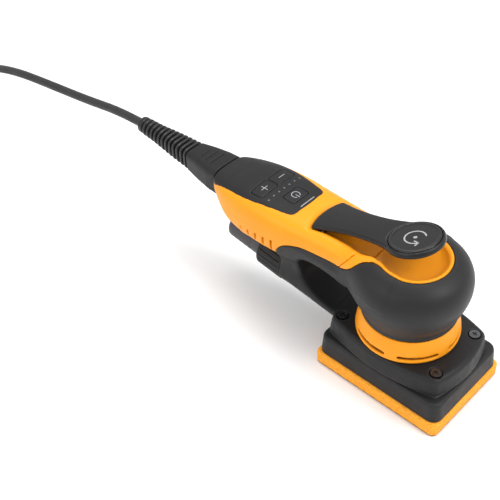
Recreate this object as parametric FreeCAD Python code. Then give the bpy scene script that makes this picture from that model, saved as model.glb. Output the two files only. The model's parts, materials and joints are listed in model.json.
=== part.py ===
"""Palm-grip orbital sander with a rear handle, a start lever over the head and a dust outlet.

Millimetres. +X is forward, +Y the tool's left, +Z up. The origin is on the spindle axis,
in the plane of the pad's grip face.
"""
import FreeCAD
import Part
import math
import os

V = FreeCAD.Vector

# ---- driving dimensions ----
ORBIT_OFFSET = 1.5            # half of the 3 mm orbit
PAD_LENGTH = 100.0
PAD_WIDTH = 75.0
FACING_TOP = 1.2
FOAM_TOP = 10.5
PLATE_TOP = 26.0
SHROUD_BOTTOM = 27.5
SHROUD_TOP = 40.5
RING_TOP = 58.0
HEAD_TOP = 103.2
WALL = 3.0
RUNNING_GAP = 0.3
SCREW_X = 37.5
SCREW_Y = 21.5
HANDLE_SCREW_X = -126.0
HANDLE_SCREW_Y = 20.5
HANDLE_SCREW_SEAT = 64.5
KEYPAD_DEPTH = 1.8
INLET_HEIGHT = 84.7

# rotating stack on the spindle axis
ORBIT_BEARING = dict(x=ORBIT_OFFSET, z=12.5, outer=14.0, inner=6.0, height=8.0, balls=9)
LOWER_BEARING = dict(x=0.0, z=41.0, outer=13.0, inner=5.0, height=8.0, balls=8)
UPPER_BEARING = dict(x=0.0, z=79.0, outer=11.0, inner=4.0, height=7.0, balls=8)
ROTOR_BOTTOM = 58.0
ROTOR_TOP = 76.0
MAGNET_RADIUS = 16.5
STATOR_BORE = 17.0
STATOR_RADIUS = 28.0
CAN_RADIUS = 30.0
CAN_TOP = 88.5

# handle sections: x, half width, bottom, top, corner radius
HANDLE_SECTIONS = [
    (-162.0, 15.8, 73.9, 93.3, 6.0),
    (-156.0, 19.3, 67.2, 94.2, 9.0),
    (-147.0, 23.3, 59.4, 95.8, 13.0),
    (-134.0, 26.2, 55.6, 97.6, 15.0),
    (-114.0, 27.7, 55.0, 98.9, 16.0),
    (-95.0, 27.4, 56.4, 98.6, 16.0),
    (-79.0, 25.9, 63.4, 98.2, 14.0),
    (-63.0, 24.6, 66.8, 98.2, 13.0),
    (-45.0, 24.0, 66.8, 98.2, 13.0),
    (-26.0, 23.7, 65.4, 98.2, 13.0),
    (-6.0, 23.0, 65.2, 98.2, 13.0),
]
HEAD_PROFILE = [
    (31.8, RING_TOP), (31.4, 60.5), (32.8, 65.0), (35.0, 70.0), (37.0, 76.5), (38.0, 83.0), (37.3, 90.0),
    (34.6, 95.8), (30.2, 100.0), (25.2, 102.5), (20.0, HEAD_TOP),
]

# start lever: a flat paddle hinged at its rear end
LEVER_TILT = 15.0
LEVER_REAR = V(-70.3, 0.0, 98.1)
LEVER_THICKNESS = 3.5
LEVER_DISC = 71.5             # from the rear edge to the disc's centre
LEVER_DISC_RADIUS = 18.6
LEVER_PIN = V(-64.0, 0.0, 93.9)
KNUCKLE_RADIUS = 2.5
LEVER_PIN_RADIUS = 1.5
LEVER_PIN_HALF = 18.5
BOWL_RADIUS = 20.8
TROUGH_FLOOR = 91.0
BOWL_FLOOR = 95.5

# dust outlet, tilted up towards the rear
OUTLET_START = V(-98.0, 0.0, 39.5)
OUTLET_TILT = 8.0
OUTLET_BORE = 12.5
COLLAR_RADIUS = 18.0
COLLAR_LENGTH = 23.0
TUBE_RADIUS = 14.25
TUBE_END = 54.5
DUCT_JOINT = -79.0            # where the duct ends and the column begins

# mains cable
CABLE_DIAMETER = 7.0
CABLE_RADIUS = CABLE_DIAMETER / 2
CABLE_ROUTE = [
    (-254.0, 0.0, 85.4), (-281.0, 0.2, 85.0), (-325.0, 0.0, 77.4), (-376.0, -0.4, 71.2), (-424.0, -0.5, 64.6),
    (-468.0, 1.5, 51.6), (-506.0, 9.0, 31.6), (-541.0, 23.0, 11.6), (-577.0, 40.0, 3.7), (-620.0, 49.3, 3.5),
]
COIL_CENTRE = V(-620.0, 0.0, 0.0)
COIL_COLUMNS = 4
COIL_LAYERS = 4
COIL_PITCH = 7.1
COIL_INNER = 28.0             # radius of the innermost turn's centre line
TAIL_ROUTE = [
    (-620.0, -49.3, 24.8), (-599.0, -49.0, 23.6), (-578.0, -47.4, 19.0), (-558.0, -44.4, 14.0),
    (-540.0, -40.4, 12.5),
]


# ---- helpers ----
def save(name, shape):
    """Writes one sub-part."""
    shape.removeSplitter().exportStep(os.path.join("parts", name + ".step"))


def fuse(shapes):
    """One solid of several that touch or overlap."""
    return shapes[0].fuse(shapes[1:]) if len(shapes) > 1 else shapes[0]


def group(shapes):
    """Separate solids kept together in one sub-part."""
    return Part.makeCompound(shapes)


def moved(shape, x=0.0, y=0.0, z=0.0):
    """A shifted copy."""
    copy = shape.copy()
    copy.translate(V(x, y, z))
    return copy


def turned(shape, centre, axis, degrees):
    """A rotated copy."""
    copy = shape.copy()
    copy.rotate(centre, axis, degrees)
    return copy


def mirrored(shape):
    """The copy on the other side of the tool's middle plane."""
    return shape.mirror(V(0, 0, 0), V(0, 1, 0))


def disc(radius, low, high, x=0.0, y=0.0):
    """An upright cylinder."""
    return Part.makeCylinder(radius, high - low, V(x, y, low))


def ring(outer, inner, low, high, x=0.0, y=0.0):
    """An upright tube."""
    return disc(outer, low, high, x, y).cut(disc(inner, low - 1, high + 1, x, y))


def block(x_range, half_width, z_range):
    """A box that is symmetric about the middle plane."""
    size = (x_range[1] - x_range[0], 2 * half_width, z_range[1] - z_range[0])
    return Part.makeBox(*size, V(x_range[0], -half_width, z_range[0]))


def section(x, half_width, bottom, top, corner):
    """A rounded rectangle across the tool at x."""
    w, r = half_width, corner
    cut = r * (1 - math.sqrt(0.5))
    edges = []
    corners = [(1, 1), (-1, 1), (-1, -1), (1, -1)]
    middle, half = (bottom + top) / 2, (top - bottom) / 2
    points = []
    for sy, sz in corners:
        a = V(x, sy * w, middle + sz * (half - r))
        b = V(x, sy * (w - cut), middle + sz * (half - cut))
        c = V(x, sy * (w - r), middle + sz * half)
        points.append((a, b, c) if sy * sz > 0 else (c, b, a))
    for i, (a, b, c) in enumerate(points):
        edges.append(Part.Arc(a, b, c).toShape())
        edges.append(Part.makeLine(c, points[(i + 1) % 4][0]))
    return Part.Wire(edges)


def loft(sections):
    """A smooth solid through rounded rectangles."""
    return Part.makeLoft([section(*s) for s in sections], True, False)


def revolve(outline, smooth=()):
    """A solid of revolution of (radius, height) points. A smooth run of them goes in between as one curve."""
    points = [V(r, 0, z) for r, z in outline]
    curve = [V(r, 0, z) for r, z in smooth]
    edges = []
    if curve:
        spline = Part.BSplineCurve()
        spline.interpolate(curve)
        edges.append(spline.toShape())
        points = [curve[-1]] + points + [curve[0]]
    else:
        points = points + [points[0]]
    edges += [Part.makeLine(a, b) for a, b in zip(points, points[1:])]
    return Part.Face(Part.Wire(edges)).revolve(V(0, 0, 0), V(0, 0, 1), 360)


def plan(points, low, high):
    """An upright prism over a polygon in plan."""
    wire = Part.makePolygon([V(x, y, low) for x, y in points] + [V(*points[0], low)])
    return Part.Face(wire).extrude(V(0, 0, high - low))


def side(points, half_width):
    """A prism across the tool over a polygon in side view."""
    wire = Part.makePolygon([V(x, -half_width, z) for x, z in points + points[:1]])
    return Part.Face(wire).extrude(V(0, 2 * half_width, 0))


def both_sides(half_outline):
    """The closed outline from its +Y half, listed from rear to front."""
    return half_outline + [(x, -y) for x, y in reversed(half_outline)]


def rounded(shape, radius, picks):
    """Fillets the edges that picks says."""
    return shape.makeFillet(radius, [e for e in shape.Edges if picks(e)])


def upright(edge):
    """True for an edge that runs along Z."""
    a, b = edge.Vertexes[0].Point, edge.Vertexes[-1].Point
    return abs(a.z - b.z) > 0.1 and math.hypot(a.x - b.x, a.y - b.y) < 0.01


def along_outlet(shape):
    """Lays a shape built along +Z from the origin onto the dust outlet's axis."""
    shape = turned(shape, V(0, 0, 0), V(0, 1, 0), -90 + OUTLET_TILT)
    return moved(shape, OUTLET_START.x, OUTLET_START.y, OUTLET_START.z)


def button_head(z, x, y, radius=3.6):
    """A screw head with a cross recess, its top at z."""
    head = disc(radius, z - 1.8, z, x, y)
    for size in ((0.9, 3.4), (3.4, 0.9)):
        head = head.cut(Part.makeBox(*size, 1.2, V(x - size[0] / 2, y - size[1] / 2, z - 1.0)))
    return head


# ---- pad ----
def save_pad():
    """Facing, foam, plate, hub and the screws between them, centred on the orbit axis."""
    half_length = PAD_LENGTH / 2
    ends = (ORBIT_OFFSET - half_length, ORBIT_OFFSET + half_length)
    outline = block(ends, PAD_WIDTH / 2, (0, FOAM_TOP))
    outline = rounded(outline, 5.0, upright)
    low = block((-80, 80), 80, (0, FACING_TOP))
    save("pad_facing", outline.common(low))
    foam = outline.cut(low)
    save("pad_foam", rounded(foam, 1.5, lambda e: e.BoundBox.ZMin > FOAM_TOP - 0.01))

    def plate_wire(z, inset):
        half = 48.9 - inset
        base = block((ORBIT_OFFSET - half, ORBIT_OFFSET + half), 35.6 - inset * 0.4, (z, z + 1))
        base = rounded(base, 7.0, upright)
        return [f for f in base.Faces if f.BoundBox.ZMax < z + 0.01][0].OuterWire

    plate = Part.makeLoft([plate_wire(FOAM_TOP, 0.0), plate_wire(PLATE_TOP, 1.4)], True, True)
    plate = plate.cut(disc(32.0, 19.0, PLATE_TOP + 1, ORBIT_OFFSET))
    plate = plate.cut(disc(15.0, 11.0, 20.0, ORBIT_OFFSET))
    screws, holes = [], []
    for turn in (45, 135, 225, 315):
        x = ORBIT_OFFSET + 18.2 * math.cos(math.radians(turn))
        y = 18.2 * math.sin(math.radians(turn))
        screws.append(fuse([disc(1.5, 12.5, 20.0, x, y), button_head(21.5, x, y, 2.6)]))
        holes.append(fuse([disc(1.5, 12.5, 20.0, x, y), disc(2.6, 19.7, 21.5, x, y)]))
    hub = fuse([disc(15.0, 11.0, 19.0, ORBIT_OFFSET), disc(22.0, 19.0, 21.5, ORBIT_OFFSET)])
    hub = hub.cut(disc(14.0, 12.5, 22.0, ORBIT_OFFSET)).cut(disc(4.0, 10.0, 13.0, ORBIT_OFFSET))
    for hole in holes:
        hub = hub.cut(hole)
        plate = plate.cut(hole)
    save("pad_plate", plate)
    save("pad_hub", hub)
    save("pad_screws", group(screws))


def save_bearing(name, x, z, outer, inner, height, balls):
    """Outer ring, balls and inner ring of a deep-groove bearing."""
    middle = (outer + inner) / 2
    ball = (outer - inner) * 0.28
    groove = Part.makeTorus(middle, ball + 0.05, V(x, 0, z + height / 2))
    land = (outer - inner) * 0.22
    save(name + "_outer_ring", ring(outer, middle + land, z, z + height, x).cut(groove))
    save(name + "_inner_ring", ring(middle - land, inner, z, z + height, x).cut(groove))
    places = [2 * math.pi * i / balls for i in range(balls)]
    centre = z + height / 2
    save(name + "_balls", group([
        Part.makeSphere(ball, V(x + middle * math.cos(a), middle * math.sin(a), centre)) for a in places]))


# ---- motor ----
def save_rotor():
    """Shaft with its crank journal, rotor, fan and counterweight."""
    journal_top = ORBIT_BEARING["z"] + ORBIT_BEARING["height"] + 1.5
    parts = [
        disc(ORBIT_BEARING["inner"], ORBIT_BEARING["z"], journal_top, ORBIT_OFFSET),
        disc(8.5, journal_top, 24.0),
        disc(LOWER_BEARING["inner"], 24.0, UPPER_BEARING["z"]),
        disc(6.5, 33.0, LOWER_BEARING["z"]),
        disc(6.5, LOWER_BEARING["z"] + LOWER_BEARING["height"], 50.5),
        disc(UPPER_BEARING["inner"], UPPER_BEARING["z"], UPPER_BEARING["z"] + UPPER_BEARING["height"] + 1),
    ]
    save("motor_shaft", fuse(parts))

    heavy_side = disc(28.5, 24.5, 33.0).common(Part.makeBox(60, 120, 40, V(-63, -60, 10)))
    weight = fuse([disc(11.0, 24.0, 33.0), heavy_side])
    weight = weight.cut(disc(LOWER_BEARING["inner"], 20.0, 40.0))
    save("counterweight", weight)

    hub = fuse([disc(8.5, 50.5, 55.5), disc(25.5, 50.5, 52.0)])
    blade = Part.makeBox(17.5, 1.2, 3.6, V(8.0, -0.6, 51.9))
    blade = turned(blade, V(8.0, 0, 0), V(0, 0, 1), 18)
    blades = [turned(blade, V(0, 0, 0), V(0, 0, 1), 36 * i) for i in range(10)]
    save("cooling_fan", fuse([hub] + blades).cut(disc(5.0, 50.0, 56.0)))

    core = disc(14.6, ROTOR_BOTTOM, ROTOR_TOP).cut(disc(5.0, ROTOR_BOTTOM - 1, ROTOR_TOP + 1))
    save("rotor_core", core)
    sleeve = ring(MAGNET_RADIUS, 14.6, ROTOR_BOTTOM, ROTOR_TOP)
    gap = Part.makeBox(20, 0.6, 40, V(0, -0.3, ROTOR_BOTTOM - 5))
    gaps = [turned(gap, V(0, 0, 0), V(0, 0, 1), 45 * i) for i in range(8)]
    save("rotor_magnets", sleeve.cut(fuse(gaps)))


def save_stator():
    """Toothed core, its nine coils, the can round them and the plate that closes the can."""
    teeth = 9
    yoke = ring(STATOR_RADIUS, 24.5, 59.0, 75.0)
    tooth = Part.makeBox(7.0, 4.4, 16.0, V(18.0, -2.2, 59.0))
    tip = ring(18.8, STATOR_BORE, 59.0, 75.0).common(Part.makeBox(20, 10.0, 20, V(5, -5.0, 58.0)))
    one = fuse([tooth, tip])
    step = 360.0 / teeth
    save("stator_core", fuse([yoke] + [turned(one, V(0, 0, 0), V(0, 0, 1), step * i) for i in range(teeth)]))
    coil = Part.makeBox(4.8, 8.8, 20.0, V(19.2, -4.4, 57.0))
    coil = coil.cut(Part.makeBox(4.8, 4.4, 16.0, V(19.2, -2.2, 59.0)))
    save("stator_windings", group([turned(coil, V(0, 0, 0), V(0, 0, 1), step * i) for i in range(teeth)]))

    can = disc(CAN_RADIUS, 44.0, CAN_TOP).cut(disc(STATOR_RADIUS, 43.0, 78.5))
    can = can.cut(disc(UPPER_BEARING["outer"], 78.0, UPPER_BEARING["z"] + UPPER_BEARING["height"]))
    can = can.cut(ring(26.5, 14.0, 78.0, CAN_TOP - 2.0)).cut(disc(5.0, 78.0, 87.2))
    vent = Part.makeBox(12, 12, 9, V(24, -6, 45.5))
    for i in range(6):
        can = can.cut(turned(vent, V(0, 0, 0), V(0, 0, 1), 60 * i + 30))
    can = can.cut(block((-31, -27), 8.0, (75.5, 78.4)))
    save("motor_can", can)
    plate = fuse([disc(30.4, SHROUD_TOP, 44.0), disc(17.0, SHROUD_TOP, 49.0)])
    plate = plate.cut(disc(LOWER_BEARING["outer"], LOWER_BEARING["z"], 50.0)).cut(disc(7.5, 40.0, 42.0))
    save("bearing_plate", plate)
    wires = [Part.makeCylinder(1.2, 62.0, V(-26.0, y, 76.95), V(-1, 0, 0.03)) for y in (-5.0, 0.0, 5.0)]
    save("motor_wires", group(wires))


# ---- lower body ----
def shroud_wire(x_corner, y_corner, x_bulge, y_bulge, z):
    """A square outline with bowed sides."""
    corners = [(x_corner, y_corner), (-x_corner, y_corner), (-x_corner, -y_corner), (x_corner, -y_corner)]
    middles = [(0, y_bulge), (-x_bulge, 0), (0, -y_bulge), (x_bulge, 0)]
    edges = []
    for i in range(4):
        start, end = corners[i], corners[(i + 1) % 4]
        edges.append(Part.Arc(V(*start, z), V(*middles[i], z), V(*end, z)).toShape())
    return Part.Wire(edges)


def shroud_solid(low, high, inset):
    """The shroud's tapered outline between two heights."""
    bottom = shroud_wire(44.6 - inset, 29.6 - inset, 49.0 - inset, 36.0 - inset, low)
    top = shroud_wire(43.0 - inset, 28.3 - inset, 47.4 - inset, 34.8 - inset, high)
    body = Part.makeLoft([bottom, top], True, True)
    corners = [e for e in body.Edges if e.BoundBox.ZLength > 0.5]
    return body.makeFillet(max(5.5 - inset, 2.0), corners)


def save_shroud():
    """Shroud, its four screws, the flexible legs they hold and the dust seal."""
    outer = shroud_solid(SHROUD_BOTTOM, SHROUD_TOP, 0.0)
    shroud = outer.cut(shroud_solid(SHROUD_BOTTOM - 1.0, SHROUD_TOP - 2.5, WALL))
    shroud = shroud.cut(disc(24.0, 35.0, 45.0))
    shroud = shroud.cut(block((-55, -38), 15.0, (30.0, 37.5)))
    screws, legs = [], []
    for x in (-SCREW_X, SCREW_X):
        for y in (-SCREW_Y, SCREW_Y):
            shroud = shroud.cut(disc(4.4, 39.0, 42.0, x, y)).cut(disc(2.0, 30.0, 42.0, x, y))
            screws.append(fuse([disc(2.0, 30.0, 39.5, x, y), button_head(40.8, x, y)]))
            legs.append(disc(3.4, PLATE_TOP, SHROUD_TOP - 2.5, x, y).cut(disc(2.0, 30.0, 45.0, x, y)))
    save("shroud", shroud)
    save("shroud_screws", group(screws))
    save("pad_support_legs", group(legs))
    seal = shroud_solid(26.5, SHROUD_BOTTOM, 1.0).cut(shroud_solid(26.0, 28.5, 2.6))
    save("dust_seal", seal)


def vent_ring_outer():
    """The skirt ring's outside."""
    return revolve([(31.5, RING_TOP), (0, RING_TOP), (0, 41.0), (34.6, 41.0)])


def save_vent_ring():
    """Skirt ring under the grip with arc slots."""
    body = vent_ring_outer().cut(disc(CAN_RADIUS + 0.45, 40.0, 60.0))
    for i in range(6):
        slot = Part.makeCylinder(40.0, 3.2, V(0, 0, 43.4), V(0, 0, 1), 38.0)
        body = body.cut(turned(slot, V(0, 0, 0), V(0, 0, 1), 60 * i + 11))
    save("vent_ring", body)


# ---- upper body ----
def head_solid(inset):
    """The round head, or its inside."""
    profile = [(r - inset, z - (0.0 if i < 6 else inset * 0.7)) for i, (r, z) in enumerate(HEAD_PROFILE)]
    return revolve([(0, profile[-1][1]), (0, profile[0][1])], profile)


def handle_solid(inset):
    """The handle, or its inside."""
    return loft([(x + (inset if i == 0 else 0), w - inset, low + inset, high - inset, r - inset * 0.7)
                 for i, (x, w, low, high, r) in enumerate(HANDLE_SECTIONS)])


def trough(gap, floor, bowl_floor):
    """The room for the start lever: a trough along its neck and a bowl under its disc."""
    half = [(-74.4 - gap, 0.0), (-73.4 - gap, 9.0), (-70.8 - gap, 16.8 + gap), (-50.0, 14.8 + gap),
            (-36.0, 14.2 + gap), (-22.0, 14.6 + gap), (-12.0, 14.8 + gap), (-12.0, 0.0)]
    neck = plan(both_sides(half), floor, 110.0)
    bowl = revolve([(BOWL_RADIUS + gap, HEAD_TOP + 1), (0, HEAD_TOP + 1), (0, bowl_floor),
                    (BOWL_RADIUS - 3.0 + gap, bowl_floor), (BOWL_RADIUS + gap, bowl_floor + 4.0)])
    return neck.fuse(bowl)


def keypad_prism(gap=0.0):
    """The keypad cover's outline in plan, as a prism."""
    half = [(-165.0, 13.5), (-160.0, 15.0), (-155.0, 18.2), (-142.0, 20.8), (-130.0, 21.8), (-119.0, 21.6),
            (-105.0, 19.8), (-91.0, 17.2), (-86.2, 15.1), (-85.0, 12.0)]
    half = [(x, y + gap) for x, y in half]
    return plan(both_sides(half), 85.0, 110.0)


def keys():
    """The three keys: name, x range, y range."""
    return [
        ("button_plus", (-123.8, -112.3), (-17.2, -0.2)),
        ("button_minus", (-123.8, -112.3), (0.2, 17.2)),
        ("button_power", (-102.8, -91.8), (-8.2, 8.2)),
    ]


def key_prism(x_range, y_range, inset):
    """A key's outline in plan, as a prism."""
    size = (x_range[1] - x_range[0] - 2 * inset, y_range[1] - y_range[0] - 2 * inset, 30.0)
    shape = Part.makeBox(*size, V(x_range[0] + inset, y_range[0] + inset, 85.0))
    return rounded(shape, 1.5, upright)


def save_keypad(outer):
    """Keypad cover, its keys and its light dots. Returns what the handle's shell loses to them."""
    layer = outer.common(keypad_prism()).cut(moved(outer, z=-KEYPAD_DEPTH))
    recess = layer
    dots = [disc(0.9, 90.0, 105.0, -107.7, y * 5.2) for y in range(-3, 4)]
    dots.append(rounded(Part.makeBox(0.9, 14.0, 15.0, V(-87.4, -7.0, 90.0)), 0.4, upright))
    lights = [d.common(layer) for d in dots]
    save("status_leds", group([s for light in lights for s in light.Solids]))
    cover = layer.cut(fuse(dots))
    for name, x_range, y_range in keys():
        cover = cover.cut(key_prism(x_range, y_range, 0.0))
        cap = key_prism(x_range, y_range, RUNNING_GAP).common(moved(outer, z=0.15))
        cap = cap.cut(moved(outer, z=-0.95))
        x, y = sum(x_range) / 2, sum(y_range) / 2
        stem = disc(2.0, 89.5, 99.5, x, y).common(moved(outer, z=-0.5))
        save(name, cap.fuse(stem))
        recess = recess.fuse(disc(2.4, 88.0, 99.0, x, y))
    save("keypad_cover", cover)
    return recess


def handle_outside():
    """Head and handle as one solid, with room underneath for the swivel."""
    return head_solid(0.0).fuse(handle_solid(0.0)).cut(swivel_room(0.7))


def swivel_room(gap):
    """The channel for the hose collar, and for a hose cuff pushed over the tube."""
    return along_outlet(disc(COLLAR_RADIUS + gap, -0.3 - gap, 80.0))


def save_upper_body(outer):
    """The yellow shell and the soft grip that share one outside."""
    cavity = head_solid(WALL).fuse(handle_solid(WALL))
    cavity = cavity.fuse(disc(CAN_RADIUS + 0.3, 57.0, 68.0)).cut(swivel_room(3.2))
    lining = trough(2.0, TROUGH_FLOOR - 2.0, BOWL_FLOOR - 2.0)
    cavity = cavity.cut(lining)
    shell = outer.cut(cavity).cut(trough(0.0, TROUGH_FLOOR, BOWL_FLOOR))

    edge = [(-170.0, 50.0), (-95.0, 50.0), (-95.0, 65.0), (-91.7, 70.7), (-88.0, 75.7), (-83.5, 78.8),
            (-76.0, 82.0), (-68.0, 83.5), (-41.0, 85.0), (-34.0, 88.4), (-28.5, 93.2), (-21.5, 100.4),
            (-16.0, 102.4), (-10.0, 112.0), (-170.0, 112.0)]
    region = fuse([side(edge, 60.0), disc(25.0, 90.0, 112.0), lining])
    yellow = shell.common(region)
    grip = shell.cut(region)

    places = [(HANDLE_SCREW_X, y) for y in (-HANDLE_SCREW_Y, HANDLE_SCREW_Y)]
    seat = HANDLE_SCREW_SEAT
    bosses = [disc(3.9, seat - 7.0, seat + 11.0, *place).common(outer) for place in places]
    screws = [fuse([disc(1.5, seat - 1.0, seat + 9.0, *place), disc(2.8, seat - 1.7, seat, *place)])
              for place in places]
    yellow = fuse([yellow] + bosses)
    for screw, place in zip(screws, places):
        yellow = yellow.cut(screw).cut(disc(3.1, 50.0, seat, *place))
    save("housing_screws", group(screws))

    yellow = yellow.cut(save_keypad(outer))
    for i in range(5):
        slit = Part.makeBox(2.0, 14.0, 4.0 + 0.7 * i, V(-130.5 + 8.0 * i, -30.0, 64.5))
        slit = turned(slit, V(-130 + 8.0 * i, 0, 66), V(0, 1, 0), 35)
        yellow = yellow.cut(slit).cut(mirrored(slit))
    yellow = yellow.cut(block((-170, -157), 8.0, (79.2, 90.2)))
    pin_start = V(LEVER_PIN.x, -LEVER_PIN_HALF, LEVER_PIN.z)
    pin_hole = Part.makeCylinder(LEVER_PIN_RADIUS, 2 * LEVER_PIN_HALF, pin_start, V(0, 1, 0))
    yellow = yellow.cut(pin_hole)
    seam = [(-30.6 + (z - 99.0) * 0.69, z) for z in (115.0, 50.0)] + [(60.0, 50.0), (60.0, 115.0)]
    front = side(seam, 60.0)
    save("handle_shell", largest(yellow.cut(front)))
    save("bowl_cover", largest(yellow.common(front)))
    save("head_grip", largest(grip))
    save("lever_pin", pin_hole)


def largest(shape):
    """The biggest solid of a shape, without the slivers a cut may leave."""
    return max(shape.Solids, key=lambda s: s.Volume)


def save_lower_housing(outer):
    """Dust duct behind the shroud and the column that joins it to the swivel and the handle."""
    def duct(inset):
        sections = [(-43.0, 21.0, 27.8, 40.3, 5.5), (-58.0, 21.5, 27.0, 38.6, 5.5),
                    (-72.0, 21.0, 25.6, 40.0, 7.0), (-84.0, 19.0, 23.6, 49.0, 11.0),
                    (-96.5, 17.4, 22.6, 57.2, 16.6)]
        return loft([(x, w - inset, low + inset * 0.8, high - inset, max(r - inset, 2.5))
                     for x, w, low, high, r in sections])

    column = [(-97.5, 40.0), (-97.5, 66.0), (-78.0, 70.0), (-80.0, 60.0), (-82.5, 44.0), (-86.0, 38.0)]
    body = duct(0.0).fuse(side(column, 17.0)).cut(outer)
    end = Part.makeCylinder(COLLAR_RADIUS + 12, 30.0, V(0, 0, 0), V(0, 0, 1))
    body = body.cut(along_outlet(end))
    spigot = along_outlet(disc(15.0, -4.0, 12.0))
    body = body.fuse(spigot).cut(duct(3.2)).cut(along_outlet(disc(OUTLET_BORE, -8.0, 13.0)))
    body = body.cut(shroud_solid(SHROUD_BOTTOM, SHROUD_TOP, 0.0))
    front = block((DUCT_JOINT, 0.0), 60.0, (0.0, 80.0))
    save("dust_duct", largest(body.common(front)))
    save("rear_column", largest(body.cut(front)))


def save_swivel():
    """Ribbed collar and hose tube that turn together on the duct's spigot."""
    collar = disc(COLLAR_RADIUS - 0.9, RUNNING_GAP, COLLAR_LENGTH)
    for i in range(24):
        rib = Part.makeBox(1.8, 2.6, COLLAR_LENGTH - 4.0, V(COLLAR_RADIUS - 1.8, -1.3, 2.0))
        collar = collar.fuse(turned(rib, V(0, 0, 0), V(0, 0, 1), 15 * i))
    collar = collar.cut(disc(15.0 + RUNNING_GAP, -1.0, 12.6)).cut(disc(OUTLET_BORE, 0, 40))
    collar = collar.cut(disc(TUBE_RADIUS + 0.6, 14.5, 40))
    tube_wall = disc(TUBE_RADIUS + 0.6, 14.5, COLLAR_LENGTH).fuse(disc(TUBE_RADIUS, COLLAR_LENGTH, TUBE_END))
    save("hose_collar", along_outlet(collar))
    save("hose_tube", along_outlet(tube_wall.cut(disc(OUTLET_BORE, 10.0, TUBE_END + 1.0))))


# ---- start lever ----
def lever_face():
    """The paddle's outline in its own plane, from its rear edge."""
    side_points = [(0.0, 16.3), (14.0, 13.7), (30.0, 12.1), (46.0, 12.7)]
    join = math.radians(130.0)
    join_point = (LEVER_DISC + LEVER_DISC_RADIUS * math.cos(join), LEVER_DISC_RADIUS * math.sin(join))
    side_points.append(join_point)
    left = Part.BSplineCurve()
    left.interpolate([V(x, y, 0) for x, y in side_points])
    right = Part.BSplineCurve()
    right.interpolate([V(x, -y, 0) for x, y in reversed(side_points)])
    tip = V(LEVER_DISC + LEVER_DISC_RADIUS, 0, 0)
    nose = Part.Arc(V(*join_point, 0), tip, V(join_point[0], -join_point[1], 0))
    rear = Part.Arc(V(0, -16.3, 0), V(-3.4, 0, 0), V(0, 16.3, 0))
    return Part.Face(Part.Wire([left.toShape(), nose.toShape(), right.toShape(), rear.toShape()]))


def on_lever(shape):
    """Lays a shape built in the lever's own plane onto the tool."""
    return moved(turned(shape, V(0, 0, 0), V(0, 1, 0), -LEVER_TILT), LEVER_REAR.x, 0, LEVER_REAR.z)


def save_lever():
    """Paddle with its knuckles, its round badge and its return spring."""
    paddle = on_lever(lever_face().extrude(V(0, 0, -LEVER_THICKNESS)))
    knuckles = []
    for y in (-12.0, 4.0):
        start = V(LEVER_PIN.x, y, LEVER_PIN.z)
        knuckles.append(Part.makeCylinder(KNUCKLE_RADIUS, 8.0, start, V(0, 1, 0)))
        knuckles.append(Part.makeBox(4.0, 8.0, 3.0, start - V(2.0, 0, 0)))
    lever = fuse([paddle] + knuckles)
    bore = Part.makeCylinder(LEVER_PIN_RADIUS + 0.06, 60.0, V(LEVER_PIN.x, -30, LEVER_PIN.z), V(0, 1, 0))
    seat = on_lever(disc(16.6, -0.8, 1.0, LEVER_DISC))
    save("start_lever", lever.cut(bore).cut(seat))
    badge = rounded(disc(16.6, -0.8, 0.9, LEVER_DISC), 0.7, lambda e: e.BoundBox.ZMin > 0.8)
    save("lever_badge", on_lever(badge))
    leaf = [(-57.0, 0.1), (-49.0, 0.1), (-37.0, 8.6), (-34.0, 8.2), (-34.0, 8.7), (-37.2, 9.2),
            (-49.3, 0.7), (-57.0, 0.7)]
    save("lever_spring", side([(x, TROUGH_FLOOR - 0.1 + z) for x, z in leaf], 3.0))


# ---- electrics ----
def save_electrics():
    """Control board, its parts, the start sensor and the mains inlet."""
    save("control_board", block((-146.0, -86.0), 15.5, (84.0, 85.6)))
    parts = [block((-145.0, -131.0), 11.0, (73.0, 84.0)), block((-120.0, -106.0), 8.0, (78.0, 84.0))]
    parts += [disc(4.5, 70.0, 84.0, -98.0, y) for y in (-9.0, 9.0)]
    parts += [disc(2.2, 85.6, 88.5, sum(x) / 2, sum(y) / 2) for _, x, y in keys()]
    save("board_components", group(parts))
    save("start_sensor", block((-52.0, -42.0), 5.0, (84.0, TROUGH_FLOOR - 2.0)))
    inlet = block((-161.5, -150.0), 8.0, (79.2, 90.2)).fuse(block((-151.0, -145.0), 8.0, (79.2, 83.8)))
    inlet = inlet.cut(block((-163.0, -151.0), 6.6, (80.6, 88.8)))
    pins = [Part.makeCylinder(0.8, 10.5, V(-157.0, y, INLET_HEIGHT), V(1, 0, 0)) for y in (-4.0, 0.0, 4.0)]
    for pin in pins:
        inlet = inlet.cut(pin)
    save("inlet_socket", inlet)
    save("inlet_pins", group(pins))


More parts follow.
